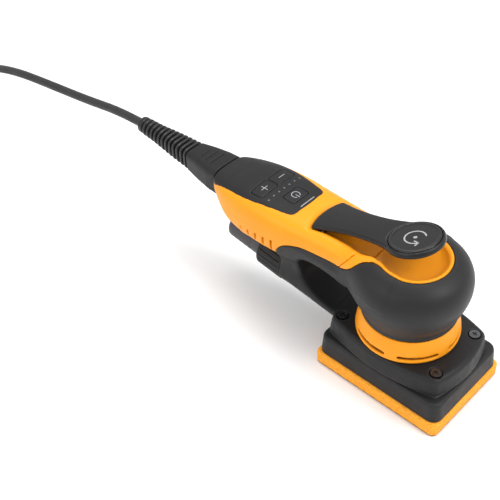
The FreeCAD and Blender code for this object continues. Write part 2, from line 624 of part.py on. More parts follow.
def save_plug(outer):
    """Cable plug at the rear of the handle, its contacts and its ribbed strain relief."""
    body = loft([(-152.0, 13.6, 69.6, 92.4, 6.0), (-165.0, 14.2, 70.0, 93.0, 6.5),
                 (-179.0, 12.8, 71.6, 92.6, 6.5), (-197.0, 9.4, 74.0, 91.0, 6.0)])
    body = body.cut(outer).cut(moved(outer, x=-0.25))
    nose = block((-168.0, -151.3), 6.3, (80.9, 88.5))
    contacts = []
    body = body.fuse(nose)
    for y in (-4.0, 0.0, 4.0):
        body = body.cut(Part.makeCylinder(1.5, 9.0, V(-160.0, y, INLET_HEIGHT), V(1, 0, 0)))
        tube = Part.makeCylinder(1.5, 8.5, V(-160.0, y, INLET_HEIGHT), V(1, 0, 0))
        contacts.append(tube.cut(Part.makeCylinder(0.86, 8.5, V(-159.0, y, INLET_HEIGHT), V(1, 0, 0))))
    save("plug_housing", largest(body))
    save("plug_contacts", group(contacts))
    relief = [Part.makeCone(6.0, 4.6, 58.0)]
    for i in range(12):
        share = i / 12
        relief.append(Part.makeCone(9.0 - 2.9 * share, 8.8 - 2.9 * share, 3.0, V(0, 0, 1.0 + 4.4 * i)))
    relief.append(Part.makeCylinder(6.3, 4.4, V(0, 0, 53.6)))
    relief = turned(fuse(relief), V(0, 0, 0), V(0, 1, 0), -90 + 2.9)
    relief = moved(relief, -196.1, 0, 82.5).cut(body)
    save("strain_relief", largest(relief))


# ---- cable ----
def tube(route, name):
    """A round cable along straight runs joined by tangent arcs, each as wide as its two runs allow."""
    points = [V(*p) for p in route]
    edges, start, length, radii = [], points[0], 0.0, []
    for before, corner, after in zip(points, points[1:], points[2:]):
        back, ahead = (before - corner), (after - corner)
        turn = math.pi - back.getAngle(ahead)
        reach = 0.45 * min(back.Length, ahead.Length)
        radius = reach / math.tan(turn / 2)
        back, ahead = V(back).normalize(), V(ahead).normalize()
        a, b = corner + back * reach, corner + ahead * reach
        inward = V(back + ahead).normalize()
        middle = corner + inward * (radius / math.cos(turn / 2) - radius)
        edges += [Part.makeLine(start, a), Part.Arc(a, middle, b).toShape()]
        length += (a - start).Length + radius * turn
        radii.append(round(radius))
        start = b
    edges.append(Part.makeLine(start, points[-1]))
    length += (points[-1] - start).Length
    circle = Part.Wire(Part.makeCircle(CABLE_RADIUS, points[0], points[1] - points[0]))
    solid = Part.Wire(edges).makePipeShell([circle], True, True)
    share = solid.Volume / (math.pi * CABLE_RADIUS ** 2 * length)
    print(name, "length", round(length), "radii", radii, "volume share", round(share, 4))
    save(name, solid)


def coil_section(grow):
    """Half of the coil's upright section, as inner radius, outer radius, bottom and top."""
    outer = COIL_INNER + COIL_PITCH * (COIL_COLUMNS - 1) + CABLE_RADIUS
    top = CABLE_DIAMETER + COIL_PITCH * (COIL_LAYERS - 1)
    return COIL_INNER - CABLE_RADIUS - grow, outer + grow, 0.0, top + grow


def save_cable():
    """Cable in use, its put-away coil with a tie, and the mains plug beside it."""
    tube(CABLE_ROUTE, "power_cord")
    tube(TAIL_ROUTE, "cord_tail")
    centre = (COIL_CENTRE.x, COIL_CENTRE.y)
    inner, outer, low, high = coil_section(0.0)
    coil = ring(outer, inner, low, high, *centre)
    slice_box = Part.makeBox(40.0, 12.0, 60.0, V(centre[0] - 62.0, centre[1] - 6.0, -5.0))
    inner_1, outer_1, low_1, high_1 = coil_section(1.0)
    band = ring(outer_1, inner_1, low_1, high_1, *centre).common(slice_box)
    band = band.cut(ring(outer - 0.2, inner + 0.2, 1.0, high - 0.2, *centre))
    save("cord_tie", largest(band))
    save("cord_coil", coil.cut(band))

    plug = loft([(0.0, 5.6, -5.6, 5.6, 5.0), (16.0, 7.2, -7.0, 7.0, 6.0), (26.0, 12.0, -10.0, 10.0, 8.0),
                 (38.0, 17.6, -12.3, 12.3, 10.0), (52.0, 17.8, -12.5, 12.5, 10.0)])
    pins = group([Part.makeCylinder(2.4, 19.0, V(52.0, y, 0), V(1, 0, 0)) for y in (-9.5, 9.5)])
    end, before = V(*TAIL_ROUTE[-1]), V(*TAIL_ROUTE[-2])
    heading = math.degrees(math.atan2(end.y - before.y, end.x - before.x))
    for name, shape in (("mains_plug", plug), ("plug_pins", pins)):
        save(name, moved(turned(shape, V(0, 0, 0), V(0, 0, 1), heading), end.x, end.y, end.z))


os.makedirs("parts", exist_ok=True)
save_pad()
for bearing_name, bearing in (("orbit_bearing", ORBIT_BEARING), ("lower_bearing", LOWER_BEARING),
                              ("upper_bearing", UPPER_BEARING)):
    save_bearing(bearing_name, **bearing)
save_rotor()
save_stator()
save_shroud()
save_vent_ring()
body_outer = handle_outside()
save_upper_body(body_outer)
save_lower_housing(body_outer)
save_swivel()
save_lever()
save_electrics()
save_plug(body_outer)
save_cable()
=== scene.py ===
"""Looks of the orbital sander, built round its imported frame.

Shapes are worked out in millimetres, mostly as fields that are negative inside a piece, and put into
Blender in metres.
"""
import json
import math

import bpy
import numpy as np
from mathutils import Matrix, Vector


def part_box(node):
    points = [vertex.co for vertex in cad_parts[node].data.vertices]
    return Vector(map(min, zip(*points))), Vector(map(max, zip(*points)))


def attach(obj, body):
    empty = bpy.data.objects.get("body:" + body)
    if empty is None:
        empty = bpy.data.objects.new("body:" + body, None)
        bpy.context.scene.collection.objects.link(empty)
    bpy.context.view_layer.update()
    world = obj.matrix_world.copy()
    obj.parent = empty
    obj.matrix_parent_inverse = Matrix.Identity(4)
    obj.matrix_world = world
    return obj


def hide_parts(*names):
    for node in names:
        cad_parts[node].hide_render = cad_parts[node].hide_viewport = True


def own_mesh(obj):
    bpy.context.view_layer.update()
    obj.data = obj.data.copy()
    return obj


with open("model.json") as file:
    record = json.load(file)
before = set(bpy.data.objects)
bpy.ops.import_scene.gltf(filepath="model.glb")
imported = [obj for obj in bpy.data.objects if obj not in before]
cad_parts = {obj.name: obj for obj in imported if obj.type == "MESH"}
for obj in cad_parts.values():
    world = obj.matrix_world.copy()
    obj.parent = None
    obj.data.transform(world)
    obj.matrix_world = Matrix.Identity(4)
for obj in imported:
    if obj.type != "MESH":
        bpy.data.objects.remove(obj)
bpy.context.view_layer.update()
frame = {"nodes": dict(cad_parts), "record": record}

MM = 0.001


def corners(node):
    """A CAD node's lowest and highest corner in millimetres."""
    low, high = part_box(node)
    return np.array(low) / MM, np.array(high) / MM


# ---- camera ----
CAMERA_ANGLES = (46.05, 42.86, -3.56)               # azimuth, elevation and roll in degrees
CAMERA_PLACE = (-0.10563, 0.07857, 0.62274)         # to its own right, up and back from the origin
CAMERA_LENS = 65.107


def set_camera():
    """A camera above the tool's front right corner, at the photograph's angle."""
    azimuth, elevation, roll = map(math.radians, CAMERA_ANGLES)
    level = math.cos(elevation)
    back = Vector((math.sin(azimuth) * level, -math.cos(azimuth) * level, math.sin(elevation)))
    right = Vector((math.cos(azimuth), math.sin(azimuth), 0.0))
    up = back.cross(right)
    turned_right = right * math.cos(roll) + up * math.sin(roll)
    turned_up = up * math.cos(roll) - right * math.sin(roll)
    data = bpy.data.cameras.new("camera")
    data.lens = CAMERA_LENS
    data.clip_start = 0.05
    camera = bpy.data.objects.new("camera", data)
    rotation = Matrix((turned_right, turned_up, back)).transposed()
    place = turned_right * CAMERA_PLACE[0] + turned_up * CAMERA_PLACE[1] + back * CAMERA_PLACE[2]
    camera.matrix_world = Matrix.Translation(place) @ rotation.to_4x4()
    bpy.context.scene.collection.objects.link(camera)
    bpy.context.scene.camera = camera


# ---- cord ----
CORD_DIAMETER = 0.007
CORD_ROUTE = [
    (-0.254, 0.0, 0.0854), (-0.281, 0.0002, 0.085), (-0.325, 0.0, 0.0774), (-0.376, -0.0004, 0.0712),
    (-0.424, -0.0005, 0.0646), (-0.468, 0.0015, 0.0516), (-0.506, 0.009, 0.0316), (-0.541, 0.023, 0.0116),
    (-0.577, 0.040, 0.0037), (-0.620, 0.0493, 0.0035),
]
TAIL_ROUTE = [
    (-0.620, -0.0493, 0.0248), (-0.599, -0.049, 0.0236), (-0.578, -0.0474, 0.019),
    (-0.558, -0.0444, 0.014), (-0.540, -0.0404, 0.0125),
]
COIL_CENTRE = (-0.620, 0.0)
COIL_PITCH = 0.0071
COIL_INNER = 0.028
COIL_COLUMNS = 4
COIL_TURNS = COIL_COLUMNS * 4


def coil_place(n):
    """Radius and height of the coil's turn n: layer by layer, inwards in one and outwards in the next."""
    layer, step = divmod(min(n, COIL_TURNS - 1), COIL_COLUMNS)
    column = COIL_COLUMNS - 1 - step if layer % 2 == 0 else step
    return COIL_INNER + COIL_PITCH * column, CORD_DIAMETER / 2 + COIL_PITCH * layer


def coil_points(per_turn=16, shift_from=0.75):
    """The coil's turns, half a turn short so that they end opposite their start."""
    points = []
    for i in range(1, int((COIL_TURNS - 0.5) * per_turn)):
        turn = i / per_turn
        whole = int(turn)
        into_next = max(0.0, (turn - whole - shift_from) / (1 - shift_from))
        here, after = coil_place(whole), coil_place(whole + 1)
        radius = here[0] + (after[0] - here[0]) * into_next
        height = here[1] + (after[1] - here[1]) * into_next
        angle = math.pi / 2 + 2 * math.pi * turn
        x, y = radius * math.cos(angle), radius * math.sin(angle)
        points.append((COIL_CENTRE[0] + x, COIL_CENTRE[1] + y, height))
    return points


def make_cord():
    """The mains cable: from the strain relief to the floor, round its coil and out to the plug."""
    points = CORD_ROUTE + coil_points() + TAIL_ROUTE
    curve = bpy.data.curves.new("mains_cable", "CURVE")
    curve.dimensions = "3D"
    curve.bevel_depth = CORD_DIAMETER / 2
    curve.bevel_resolution = 5
    curve.resolution_u = 6
    curve.use_fill_caps = True
    spline = curve.splines.new("NURBS")
    spline.points.add(len(points) - 1)
    for point, place in zip(spline.points, points):
        point.co = (*place, 1.0)
    spline.order_u = 3
    spline.use_endpoint_u = True
    cord = bpy.data.objects.new("mains_cable", curve)
    bpy.context.scene.collection.objects.link(cord)
    return cord


# ---- fields ----
def smin(a, b, r):
    """The union of two fields with a fillet of about r."""
    h = np.maximum(r - np.abs(a - b), 0.0) / r
    return np.minimum(a, b) - h * h * r * 0.25


def smax(a, b, r):
    """The intersection of two fields with its edge rounded by about r."""
    return -smin(-a, -b, r)


def cut(a, b, r):
    """a without b."""
    return smax(a, -b, r)


def ramp(value, start, end):
    """A smooth step from 0 at start to 1 at end."""
    t = np.clip((value - start) / (end - start), 0.0, 1.0)
    return t * t * (3 - 2 * t)


def smooth_line(points, steps=8):
    """Points along a smooth curve through these."""
    p = np.array(points, float)
    q = np.vstack([2 * p[0] - p[1], p, 2 * p[-1] - p[-2]])
    out = []
    for i in range(1, len(q) - 2):
        a, b, c, d = q[i - 1], q[i], q[i + 1], q[i + 2]
        for t in np.linspace(0, 1, steps, endpoint=False):
            out.append(0.5 * (2 * b + (c - a) * t + (2 * a - 5 * b + 4 * c - d) * t * t
                              + (3 * b - a - 3 * c + d) * t ** 3))
    out.append(p[-1])
    return np.array(out)


def mirror_y(half):
    """A closed plan outline from its +Y half."""
    half = np.array(half, float)
    return np.vstack([half, half[::-1] * (1, -1)])


class Outline:
    """Signed distance to a flat closed outline, kept on a fine grid."""

    def __init__(self, points, margin=25.0, step=0.4):
        points = np.array(points, float)
        self.low = points.min(0) - margin
        self.step = step
        counts = np.ceil((points.max(0) + margin - self.low) / step).astype(int) + 1
        u, v = (self.low[i] + step * np.arange(counts[i]) for i in (0, 1))
        self.grid = self.exact(*np.meshgrid(u, v, indexing="ij"), points)

    @staticmethod
    def exact(u, v, points):
        """The distance itself, edge by edge."""
        nearest = np.full(u.shape, 1e12)
        inside = np.zeros(u.shape, bool)
        for a, b in zip(points, np.roll(points, -1, 0)):
            e = b - a
            if not e.any():
                continue
            t = np.clip(((u - a[0]) * e[0] + (v - a[1]) * e[1]) / (e @ e), 0, 1)
            nearest = np.minimum(nearest, (u - a[0] - t * e[0]) ** 2 + (v - a[1] - t * e[1]) ** 2)
            if e[1]:
                crosses = ((a[1] <= v) & (b[1] > v)) | ((b[1] <= v) & (a[1] > v))
                inside ^= crosses & (u < a[0] + (v - a[1]) * e[0] / e[1])
        return np.where(inside, -1.0, 1.0) * np.sqrt(nearest)

    def __call__(self, u, v):
        x = np.clip((u - self.low[0]) / self.step, 0, self.grid.shape[0] - 1.001)
        y = np.clip((v - self.low[1]) / self.step, 0, self.grid.shape[1] - 1.001)
        i, j = x.astype(int), y.astype(int)
        x, y, g = x - i, y - j, self.grid
        low, high = (g[i, j + k] * (1 - x) + g[i + 1, j + k] * x for k in (0, 1))
        return low * (1 - y) + high * y


class Loft:
    """A body along X through (x, centre z, half width, up, down, power above, power below) sections."""

    def __init__(self, sections):
        self.table = np.array(sections, float)
        x = self.table[:, 0]
        self.slope = np.gradient(self.table, x, axis=0)

    def at(self, x):
        """The section's values at x, eased between the given ones."""
        nodes = self.table[:, 0]
        x = np.clip(x, nodes[0], nodes[-1])
        i = np.clip(np.searchsorted(nodes, x) - 1, 0, len(nodes) - 2)
        h = nodes[i + 1] - nodes[i]
        t = (x - nodes[i]) / h
        a, b = (2 * t - 3) * t * t + 1, ((t - 2) * t + 1) * t * h
        c, d = (3 - 2 * t) * t * t, (t - 1) * t * t * h
        value, slope = self.table, self.slope
        return [a * value[i, k] + b * slope[i, k] + c * value[i + 1, k] + d * slope[i + 1, k]
                for k in range(1, 7)]

    def __call__(self, p, round_rear=3.0, round_front=1.0):
        centre, width, up, down, above, below = self.at(p[:, 0])
        z = p[:, 2] - centre
        height = np.where(z > 0, up, down)
        power = np.where(z > 0, above, below)
        r = ((np.abs(p[:, 1]) / width) ** power + (np.abs(z) / height) ** power) ** (1 / power)
        side = (r - 1) * np.minimum(width, height)
        side = smax(side, self.table[0, 0] - p[:, 0], round_rear)
        return smax(side, p[:, 0] - self.table[-1, 0], round_front)


def box_2d(u, v, u_range, v_range, radius):
    """A flat rounded rectangle."""
    du = np.abs(u - (u_range[0] + u_range[1]) / 2) - (u_range[1] - u_range[0]) / 2 + radius
    dv = np.abs(v - (v_range[0] + v_range[1]) / 2) - (v_range[1] - v_range[0]) / 2 + radius
    outside = np.hypot(np.maximum(du, 0), np.maximum(dv, 0))
    return outside + np.minimum(np.maximum(du, dv), 0) - radius


# ---- meshes ----
def field_values(field, points, chunk=400000):
    """The field at many points, a part at a time."""
    return np.concatenate([field(points[i:i + chunk]) for i in range(0, len(points), chunk)])


def grid_surface(field, low, high, step):
    """Points and four-sided faces where the field crosses zero."""
    low, high = np.array(low, float), np.array(high, float)
    counts = np.ceil((high - low) / step).astype(int) + 1
    axes = [low[i] + step * np.arange(counts[i]) for i in range(3)]
    grid = np.stack(np.meshgrid(*axes, indexing="ij"), -1).reshape(-1, 3)
    value = field_values(field, grid).reshape(counts)
    total = np.zeros(tuple(counts - 1) + (3,), np.float32)
    number = np.zeros(tuple(counts - 1), np.float32)
    crossings = []
    for k in range(3):
        others = [i for i in range(3) if i != k]
        last = counts[k] - 1
        a, b = value.take(range(last), k), value.take(range(1, last + 1), k)
        crosses = (a < 0) != (b < 0)
        where = np.argwhere(crosses)
        place = where.astype(float)
        place[:, k] += (a / np.where(crosses, a - b, 1.0))[crosses]
        crossings.append((where, others, (a < 0)[crosses] != (k == 1)))
        for shift in ((0, 0), (0, 1), (1, 0), (1, 1)):
            cell = where.copy()
            cell[:, others] -= shift
            good = ((cell >= 0) & (cell < counts - 1)).all(1)
            index = tuple(cell[good].T)
            np.add.at(total, index, place[good])
            np.add.at(number, index, 1.0)
    used = number > 0
    label = np.full(number.shape, -1)
    label[used] = np.arange(used.sum())
    points = low + step * total[used] / number[used][:, None]
    faces = []
    for where, others, inward in crossings:
        across = where[:, others]
        good = ((across > 0) & (across < counts[others] - 1)).all(1)
        ring = []
        for shift in ((1, 1), (0, 1), (0, 0), (1, 0)):
            cell = where[good]
            cell[:, others] -= shift
            ring.append(label[tuple(cell.T)])
        ring = np.stack(ring, 1)
        faces.append(np.where(inward[good][:, None], ring, ring[:, ::-1]))
    return points, np.vstack(faces)


def settle(field, points, faces, step, rounds=4):
    """Evens the points out and moves them onto the surface."""
    pairs = np.vstack([faces[:, [i, (i + 1) % 4]] for i in range(4)])
    pairs = np.vstack([pairs, pairs[:, ::-1]])
    number = np.bincount(pairs[:, 0], minlength=len(points))[:, None]
    reach = 0.02 * step
    for i in range(rounds):
        if i < rounds - 2:
            sums = [np.bincount(pairs[:, 0], points[pairs[:, 1], k], len(points)) for k in range(3)]
            points = points * 0.5 + 0.5 * np.stack(sums, 1) / number
        value = field_values(field, points)
        ahead, behind = ([field_values(field, points + side * reach * axis) for axis in np.eye(3)]
                         for side in (1, -1))
        slope = np.stack([(a - b) / (2 * reach) for a, b in zip(ahead, behind)], 1)
        move = slope * (value / np.maximum((slope ** 2).sum(1), 0.05))[:, None]
        length = np.sqrt((move ** 2).sum(1))[:, None]
        points = points - move * np.minimum(1.0, 0.6 * step / np.maximum(length, 1e-9))
    return points


def outward(points, faces):
    """The faces, turned over if they point inwards."""
    faces = [tuple(map(int, f)) for f in faces]
    points = np.asarray(points) - np.mean(points, 0)
    a, b, c = (points[[f[i] for f in faces]] for i in range(3))
    d = points[[f[-1] for f in faces]]
    volume = (np.cross(a, b) * c).sum() + (np.cross(a, c) * d).sum()
    return faces if volume > 0 else [f[::-1] for f in faces]


def make_piece(name, points, faces, smooth=True):
    """A Blender object from points in millimetres."""
    mesh = bpy.data.meshes.new(name)
    mesh.from_pydata((np.asarray(points) * MM).tolist(), [], outward(points, faces))
    mesh.validate()
    if smooth:
        mesh.polygons.foreach_set("use_smooth", [True] * len(mesh.polygons))
    piece = bpy.data.objects.new(name, mesh)
    bpy.context.scene.collection.objects.link(piece)
    return piece


def field_piece(name, field, low, high, step):
    """A piece whose surface is where the field is zero."""
    points, faces = grid_surface(field, low, high, step)
    return make_piece(name, settle(field, points, faces, step), faces)


def ring_piece(name, rings, closed=False):
    """A skin over rings of points. Its ends are filled, or joined to each other."""
    rings = np.array(rings, float)
    count, around = rings.shape[:2]
    faces = []
    for i in range(count if closed else count - 1):
        a, b = i * around, (i + 1) % count * around
        faces += [(a + j, a + (j + 1) % around, b + (j + 1) % around, b + j) for j in range(around)]
    points = rings.reshape(-1, 3)
    if not closed:
        ends = [rings[0].mean(0), rings[-1].mean(0)]
        first, last = len(points), len(points) + 1
        points = np.vstack([points, ends])
        faces += [(first, (j + 1) % around, j) for j in range(around)]
        start = (count - 1) * around
        faces += [(last, start + j, start + (j + 1) % around) for j in range(around)]
    return make_piece(name, points, faces)


# ---- the outside that the upper body's pieces share ----
HEAD_PROFILE = [(32.0, 57.5), (31.3, 60.5), (32.8, 65.0), (35.0, 70.0), (37.0, 76.5), (38.0, 83.0),
                (37.3, 90.0), (34.6, 95.8), (30.2, 100.0), (25.2, 102.5), (20.0, 103.2)]
HANDLE = Loft([
    (-162.0, 85.0, 15.8, 8.3, 11.0, 3.2, 2.5), (-158.5, 84.5, 17.9, 9.3, 13.5, 3.2, 2.5),
    (-152.0, 82.5, 21.2, 12.5, 19.2, 3.2, 2.5), (-145.0, 81.0, 23.9, 15.0, 23.5, 3.2, 2.5),
    (-135.0, 80.0, 26.0, 17.6, 24.7, 3.2, 2.5), (-120.0, 79.5, 27.5, 19.4, 24.4, 3.2, 2.5),
    (-105.0, 79.8, 27.9, 19.2, 24.8, 3.2, 2.5), (-92.0, 80.7, 27.2, 17.7, 24.7, 3.2, 2.5),
    (-80.0, 82.5, 26.1, 15.6, 19.0, 3.2, 2.5), (-68.0, 83.8, 24.9, 14.4, 15.8, 3.2, 2.5),
    (-50.0, 84.0, 24.0, 14.2, 16.4, 3.2, 2.5), (-34.0, 83.6, 23.8, 14.5, 18.4, 3.2, 2.5),
    (-20.0, 83.5, 23.6, 14.8, 18.8, 3.2, 2.5), (-5.0, 83.7, 22.9, 14.4, 18.5, 3.2, 2.5),
])
NECK_BLEND = 13.4
WALL = 3.0
head_outline = Outline(np.vstack([smooth_line(HEAD_PROFILE), [(0, 103.2), (-20, 103.2), (-20, 57.5)]]))

# where the yellow shell ends on the sides, as (x, z)
yellow_side = Outline(np.vstack([
    [(-175, 30), (-98.5, 36.0)],
    smooth_line([(-94.4, 66.0), (-92.4, 70.0), (-88.2, 75.3), (-83.5, 78.8), (-76.0, 81.9), (-69.0, 83.4),
                 (-55.0, 84.4), (-41.0, 85.4), (-34.2, 88.4), (-28.5, 93.2), (-25.0, 97.3), (-21.4, 100.4),
                 (-16.2, 102.6), (-11.0, 106.0)]),
    [(-11, 120), (-175, 120)]]))
BOWL_EDGE = 23.3
BOWL_RADIUS = 20.8
SEAM_STEP = 15.4
TROUGH_FLOOR = 91.2

# the room under the start lever, seen from above
trough_outline = Outline(mirror_y(smooth_line([
    (-74.6, 0.0), (-74.0, 7.0), (-72.4, 13.0), (-70.7, 16.9), (-66.5, 16.1), (-59.5, 14.5), (-50.0, 13.8),
    (-42.0, 13.8), (-35.0, 15.2), (-28.0, 16.6), (-20.0, 17.2), (-12.0, 16.5), (-10.0, 0.0)])))

# the keypad, seen from above
keypad_outline = Outline(mirror_y(np.vstack([
    [(-175.0, 0.0), (-175.0, 17.5)],
    smooth_line([(-162.0, 18.2), (-155.0, 19.2), (-142.0, 20.8), (-130.0, 21.8), (-119.0, 21.6),
                 (-105.0, 19.8), (-91.0, 17.4)]),
    smooth_line([(-88.0, 16.6), (-86.3, 15.2), (-85.2, 12.6)]), [(-84.7, 0.0)]])))
KEYPAD_DEPTH = 2.3
KEYPAD_PROUD = 0.22
KEYPAD_LOWEST = 87.5

# the dust outlet's axis
OUTLET_START = np.array((-98.0, 0.0, 39.5))
OUTLET_TILT = math.radians(8.0)
OUTLET_AXIS = np.array((-math.cos(OUTLET_TILT), 0.0, math.sin(OUTLET_TILT)))
OUTLET_BORE = 12.5
SWIVEL_ROOM = 18.8

DUCT = Loft([
    (-100.0, 39.8, 17.6, 18.0, 17.6, 2.1, 2.1), (-97.0, 39.4, 17.3, 18.0, 17.2, 2.1, 2.1),
    (-84.0, 37.8, 17.6, 14.0, 13.6, 2.5, 2.4), (-70.0, 35.6, 18.2, 8.4, 9.0, 3.2, 3.0),
    (-56.0, 34.4, 19.2, 6.4, 6.6, 3.8, 3.6), (-38.0, 34.2, 20.5, 6.2, 6.2, 4.0, 4.0),
])
# the finger hole under the neck, as (x, z)
finger_outline = Outline(smooth_line([
    (-78.4, 55.0), (-78.2, 62.0), (-75.6, 68.6), (-68.0, 73.0), (-58.0, 73.8), (-48.0, 72.0), (-39.0, 67.5),
    (-33.5, 59.0), (-33.0, 49.0), (-36.0, 40.5), (-44.0, 37.4), (-52.0, 37.0), (-62.0, 39.0), (-71.0, 43.0),
    (-76.6, 48.6), (-78.4, 55.0)]))


def body(p):
    """Head and handle."""
    head = head_outline(np.hypot(p[:, 0], p[:, 1]), p[:, 2])
    return smin(head, HANDLE(p), NECK_BLEND)


def column(p):
    """The web between the handle, the head and the duct, before the finger hole goes through it."""
    half_width = 17.4 + 5.0 * ramp(p[:, 2], 44.0, 74.0)
    side = smax(np.abs(p[:, 1]) - half_width, -99.0 - p[:, 0], 6.0)
    side = smax(side, p[:, 0] + 36.0, 8.0)
    return smax(side, np.abs(p[:, 2] - 58.0) - 20.0, 3.0)


def torso(p):
    """Head, handle, column and duct in one, with the finger hole through them."""
    lower = cut(smin(DUCT(p), column(p), 7.0), finger_outline(p[:, 0], p[:, 2]), 3.0)
    return smin(body(p), lower, 6.0)


def outlet_place(p):
    """Distance along the outlet's axis, and from it."""
    along = (p - OUTLET_START) @ OUTLET_AXIS
    return along, np.sqrt(((p - OUTLET_START - along[:, None] * OUTLET_AXIS) ** 2).sum(1))


def swivel_room(p):
    """The channel that the hose collar turns in, and a hose cuff slides along."""
    along, away = outlet_place(p)
    return smax(away - SWIVEL_ROOM, -0.25 - along, 0.5)


def trough(p):
    """The hollow under the start lever: a trough that opens into a dished bowl."""
    x, y, z = p.T
    r = np.hypot(x, y)
    slope = 0.10 + 0.28 * (1 - ramp(x, -32.0, -16.0))
    side = smin(trough_outline(x, y), r - BOWL_RADIUS, 4.0) - slope * (z - 99.0)
    floor = TROUGH_FLOOR + 4.3 * ramp(x, -36.0, -18.0) + 1.2 * (np.minimum(np.abs(y), 15.0) / 14.0) ** 2
    floor = floor + 2.6 * (np.minimum(r, BOWL_RADIUS) / BOWL_RADIUS) ** 4 * ramp(x, -24.0, -14.0)
    return smax(side, floor - z, 5.0)


def bowl_step(p):
    """The shallow step inside the bowl's rim."""
    r = np.hypot(p[:, 0], p[:, 1])
    return smax(smax(r - 21.7, 102.35 - p[:, 2], 0.3), -16.0 - p[:, 0], 1.0)


def cavity(p, outside):
    """The inside of the upper body."""
    return smax(outside + WALL, 2.2 - trough(p), 1.5)


def yellow_region(p):
    """Negative where the upper body is yellow: the handle, the bowl's edge and the lining of the trough."""
    bowl = smax(np.hypot(p[:, 0], p[:, 1]) - BOWL_EDGE, 92.0 - p[:, 2], 2.0)
    return smin(smin(yellow_side(p[:, 0], p[:, 2]), bowl, 5.0), trough(p) - 2.3, 1.5)


def front_region(p):
    """Negative ahead of the seam where the bowl's moulding begins. In the trough the seam steps forward."""
    x, y, z = p.T
    outer_seam = -30.6 + (z - 99.0) * 0.69 - x
    inner_seam = -20.7 + (z - 97.0) * 0.69 - x
    return smax(outer_seam, smin(SEAM_STEP - np.abs(y), inner_seam, 0.5), 0.5)


def keypad_region(p):
    """The keypad's outline, kept to the top of the handle."""
    return smax(keypad_outline(p[:, 0], p[:, 1]), KEYPAD_LOWEST - p[:, 2], 1.5)


def upper_shell(p, outside):
    """The yellow part of the upper body."""
    shape = cut(outside, trough(p), 1.4 + 3.6 * (1 - ramp(p[:, 0], -30.0, -16.0)))
    shape = cut(shape, bowl_step(p), 0.4)
    shape = smax(shape, yellow_region(p) + 0.15, 0.6)
    return cut(shape, cavity(p, outside), 1.0)


def vent_slits(p):
    """Five slanted slits on each side, taller towards the front."""
    x, y, z = p.T
    nearest = np.full(len(p), 1e3)
    for i in range(5):
        height = 2.6 + 2.0 * i
        a = np.stack([x + 126.0 - 7.0 * i, z - (70.6 + 0.3 * i - 0.55 * height)], 1)
        lean = np.array((0.17, 0.985)) * height
        t = np.clip(a @ lean / (lean @ lean), 0, 1)
        nearest = np.minimum(nearest, np.sqrt(((a - t[:, None] * lean) ** 2).sum(1)) - 0.85)
    return smax(nearest, 19.0 - np.abs(y), 0.3)


SCREWS_LOW, SCREWS_HIGH = corners("housing_screws")
SCREW_X = (SCREWS_LOW[0] + SCREWS_HIGH[0]) / 2
SCREW_Y = SCREWS_HIGH[1] - (SCREWS_HIGH[0] - SCREWS_LOW[0]) / 2
SCREW_SEAT = SCREWS_LOW[2] + 1.7


def handle_shell(p):
    """The yellow handle behind the seam."""
    outside = body(p)
    shape = smax(upper_shell(p, outside), 0.14 - front_region(p), 0.4)
    pocket = smax(keypad_region(p) + 0.5, -(outside + KEYPAD_DEPTH + 0.1), 0.4)
    shape = cut(shape, pocket, 0.4)
    shape = cut(shape, vent_slits(p), 0.3)
    screw = np.hypot(p[:, 0] - SCREW_X, np.abs(p[:, 1]) - SCREW_Y)
    boss = smax(smax(screw - 4.0, outside, 0.5), p[:, 2] - SCREW_SEAT - 11.0, 0.5)
    shape = smin(shape, boss, 1.0)
    shape = cut(shape, smax(screw - 3.1, p[:, 2] - SCREW_SEAT, 0.2), 0.4)
    return cut(shape, swivel_room(p), 1.0)


def bowl_shell(p):
    """The yellow moulding with the bowl, and a lip that closes the seam from inside."""
    outside = body(p)
    shell = upper_shell(p, outside)
    lip = smax(smax(shell, -trough(p) + 0.7, 0.2), outside + 0.7, 0.2)
    return smin(smax(shell, front_region(p) + 0.14, 0.4), smax(lip, front_region(p) - 1.6, 0.2), 0.1)


def below_split(p):
    """Negative in the lower housing: below the seam round the column, and all of the duct ahead of it."""
    return smin(smax(p[:, 2] - 61.5, p[:, 0] + 66.0, 4.0), p[:, 2] - 50.0, 4.0)


def head_grip(p):
    """The soft black grip round the head and under the neck."""
    outside = torso(p)
    shape = cut(outside, yellow_region(p) - 0.15, 0.6)
    shape = cut(shape, below_split(p) - 0.12, 0.3)
    shape = smax(shape, 58.1 - p[:, 2], 1.0)
    shape = cut(shape, cavity(p, outside), 1.0)
    return cut(shape, swivel_room(p), 0.6)


# ---- shroud, ring and pad ----
SHROUD_LOW, SHROUD_HIGH = (corners("shroud")[i][2] for i in (0, 1))
PLATE_LOW, PLATE_HIGH = (corners("pad_plate")[i][2] for i in (0, 1))
FOAM_LOW, FOAM_HIGH = corners("pad_foam")
PAD_X = (FOAM_LOW[0] + FOAM_HIGH[0]) / 2
SHROUD_CORNER = 5.5
SHROUD_SCREW = (37.5, 21.5)


def bowed_outline(x, y, x_bulge, y_bulge):
    """A rectangle with corners at x, y whose sides bow out to the bulges."""
    ends = np.array([(-x, -y), (-x, y), (x, y), (x, -y)])
    rises = np.array([(x - x_bulge, 0), (0, y_bulge - y), (x_bulge - x, 0), (0, y - y_bulge)])
    t = np.linspace(0, 1, 13)[:-1, None]
    return np.vstack([a * (1 - t) + b * t + 4 * t * (1 - t) * rise
                      for a, b, rise in zip(ends, np.roll(ends, -1, 0), rises)])


shroud_outline = Outline(bowed_outline(*(size - SHROUD_CORNER for size in (44.6, 29.6, 49.0, 36.0))))


def shroud_side(p):
    """The shroud's upright wall, leaning in towards the top."""
    scale = 1.0 + 0.036 * (p[:, 2] - SHROUD_LOW) / (SHROUD_HIGH - SHROUD_LOW)
    return shroud_outline(p[:, 0] * scale, p[:, 1] * scale) - SHROUD_CORNER


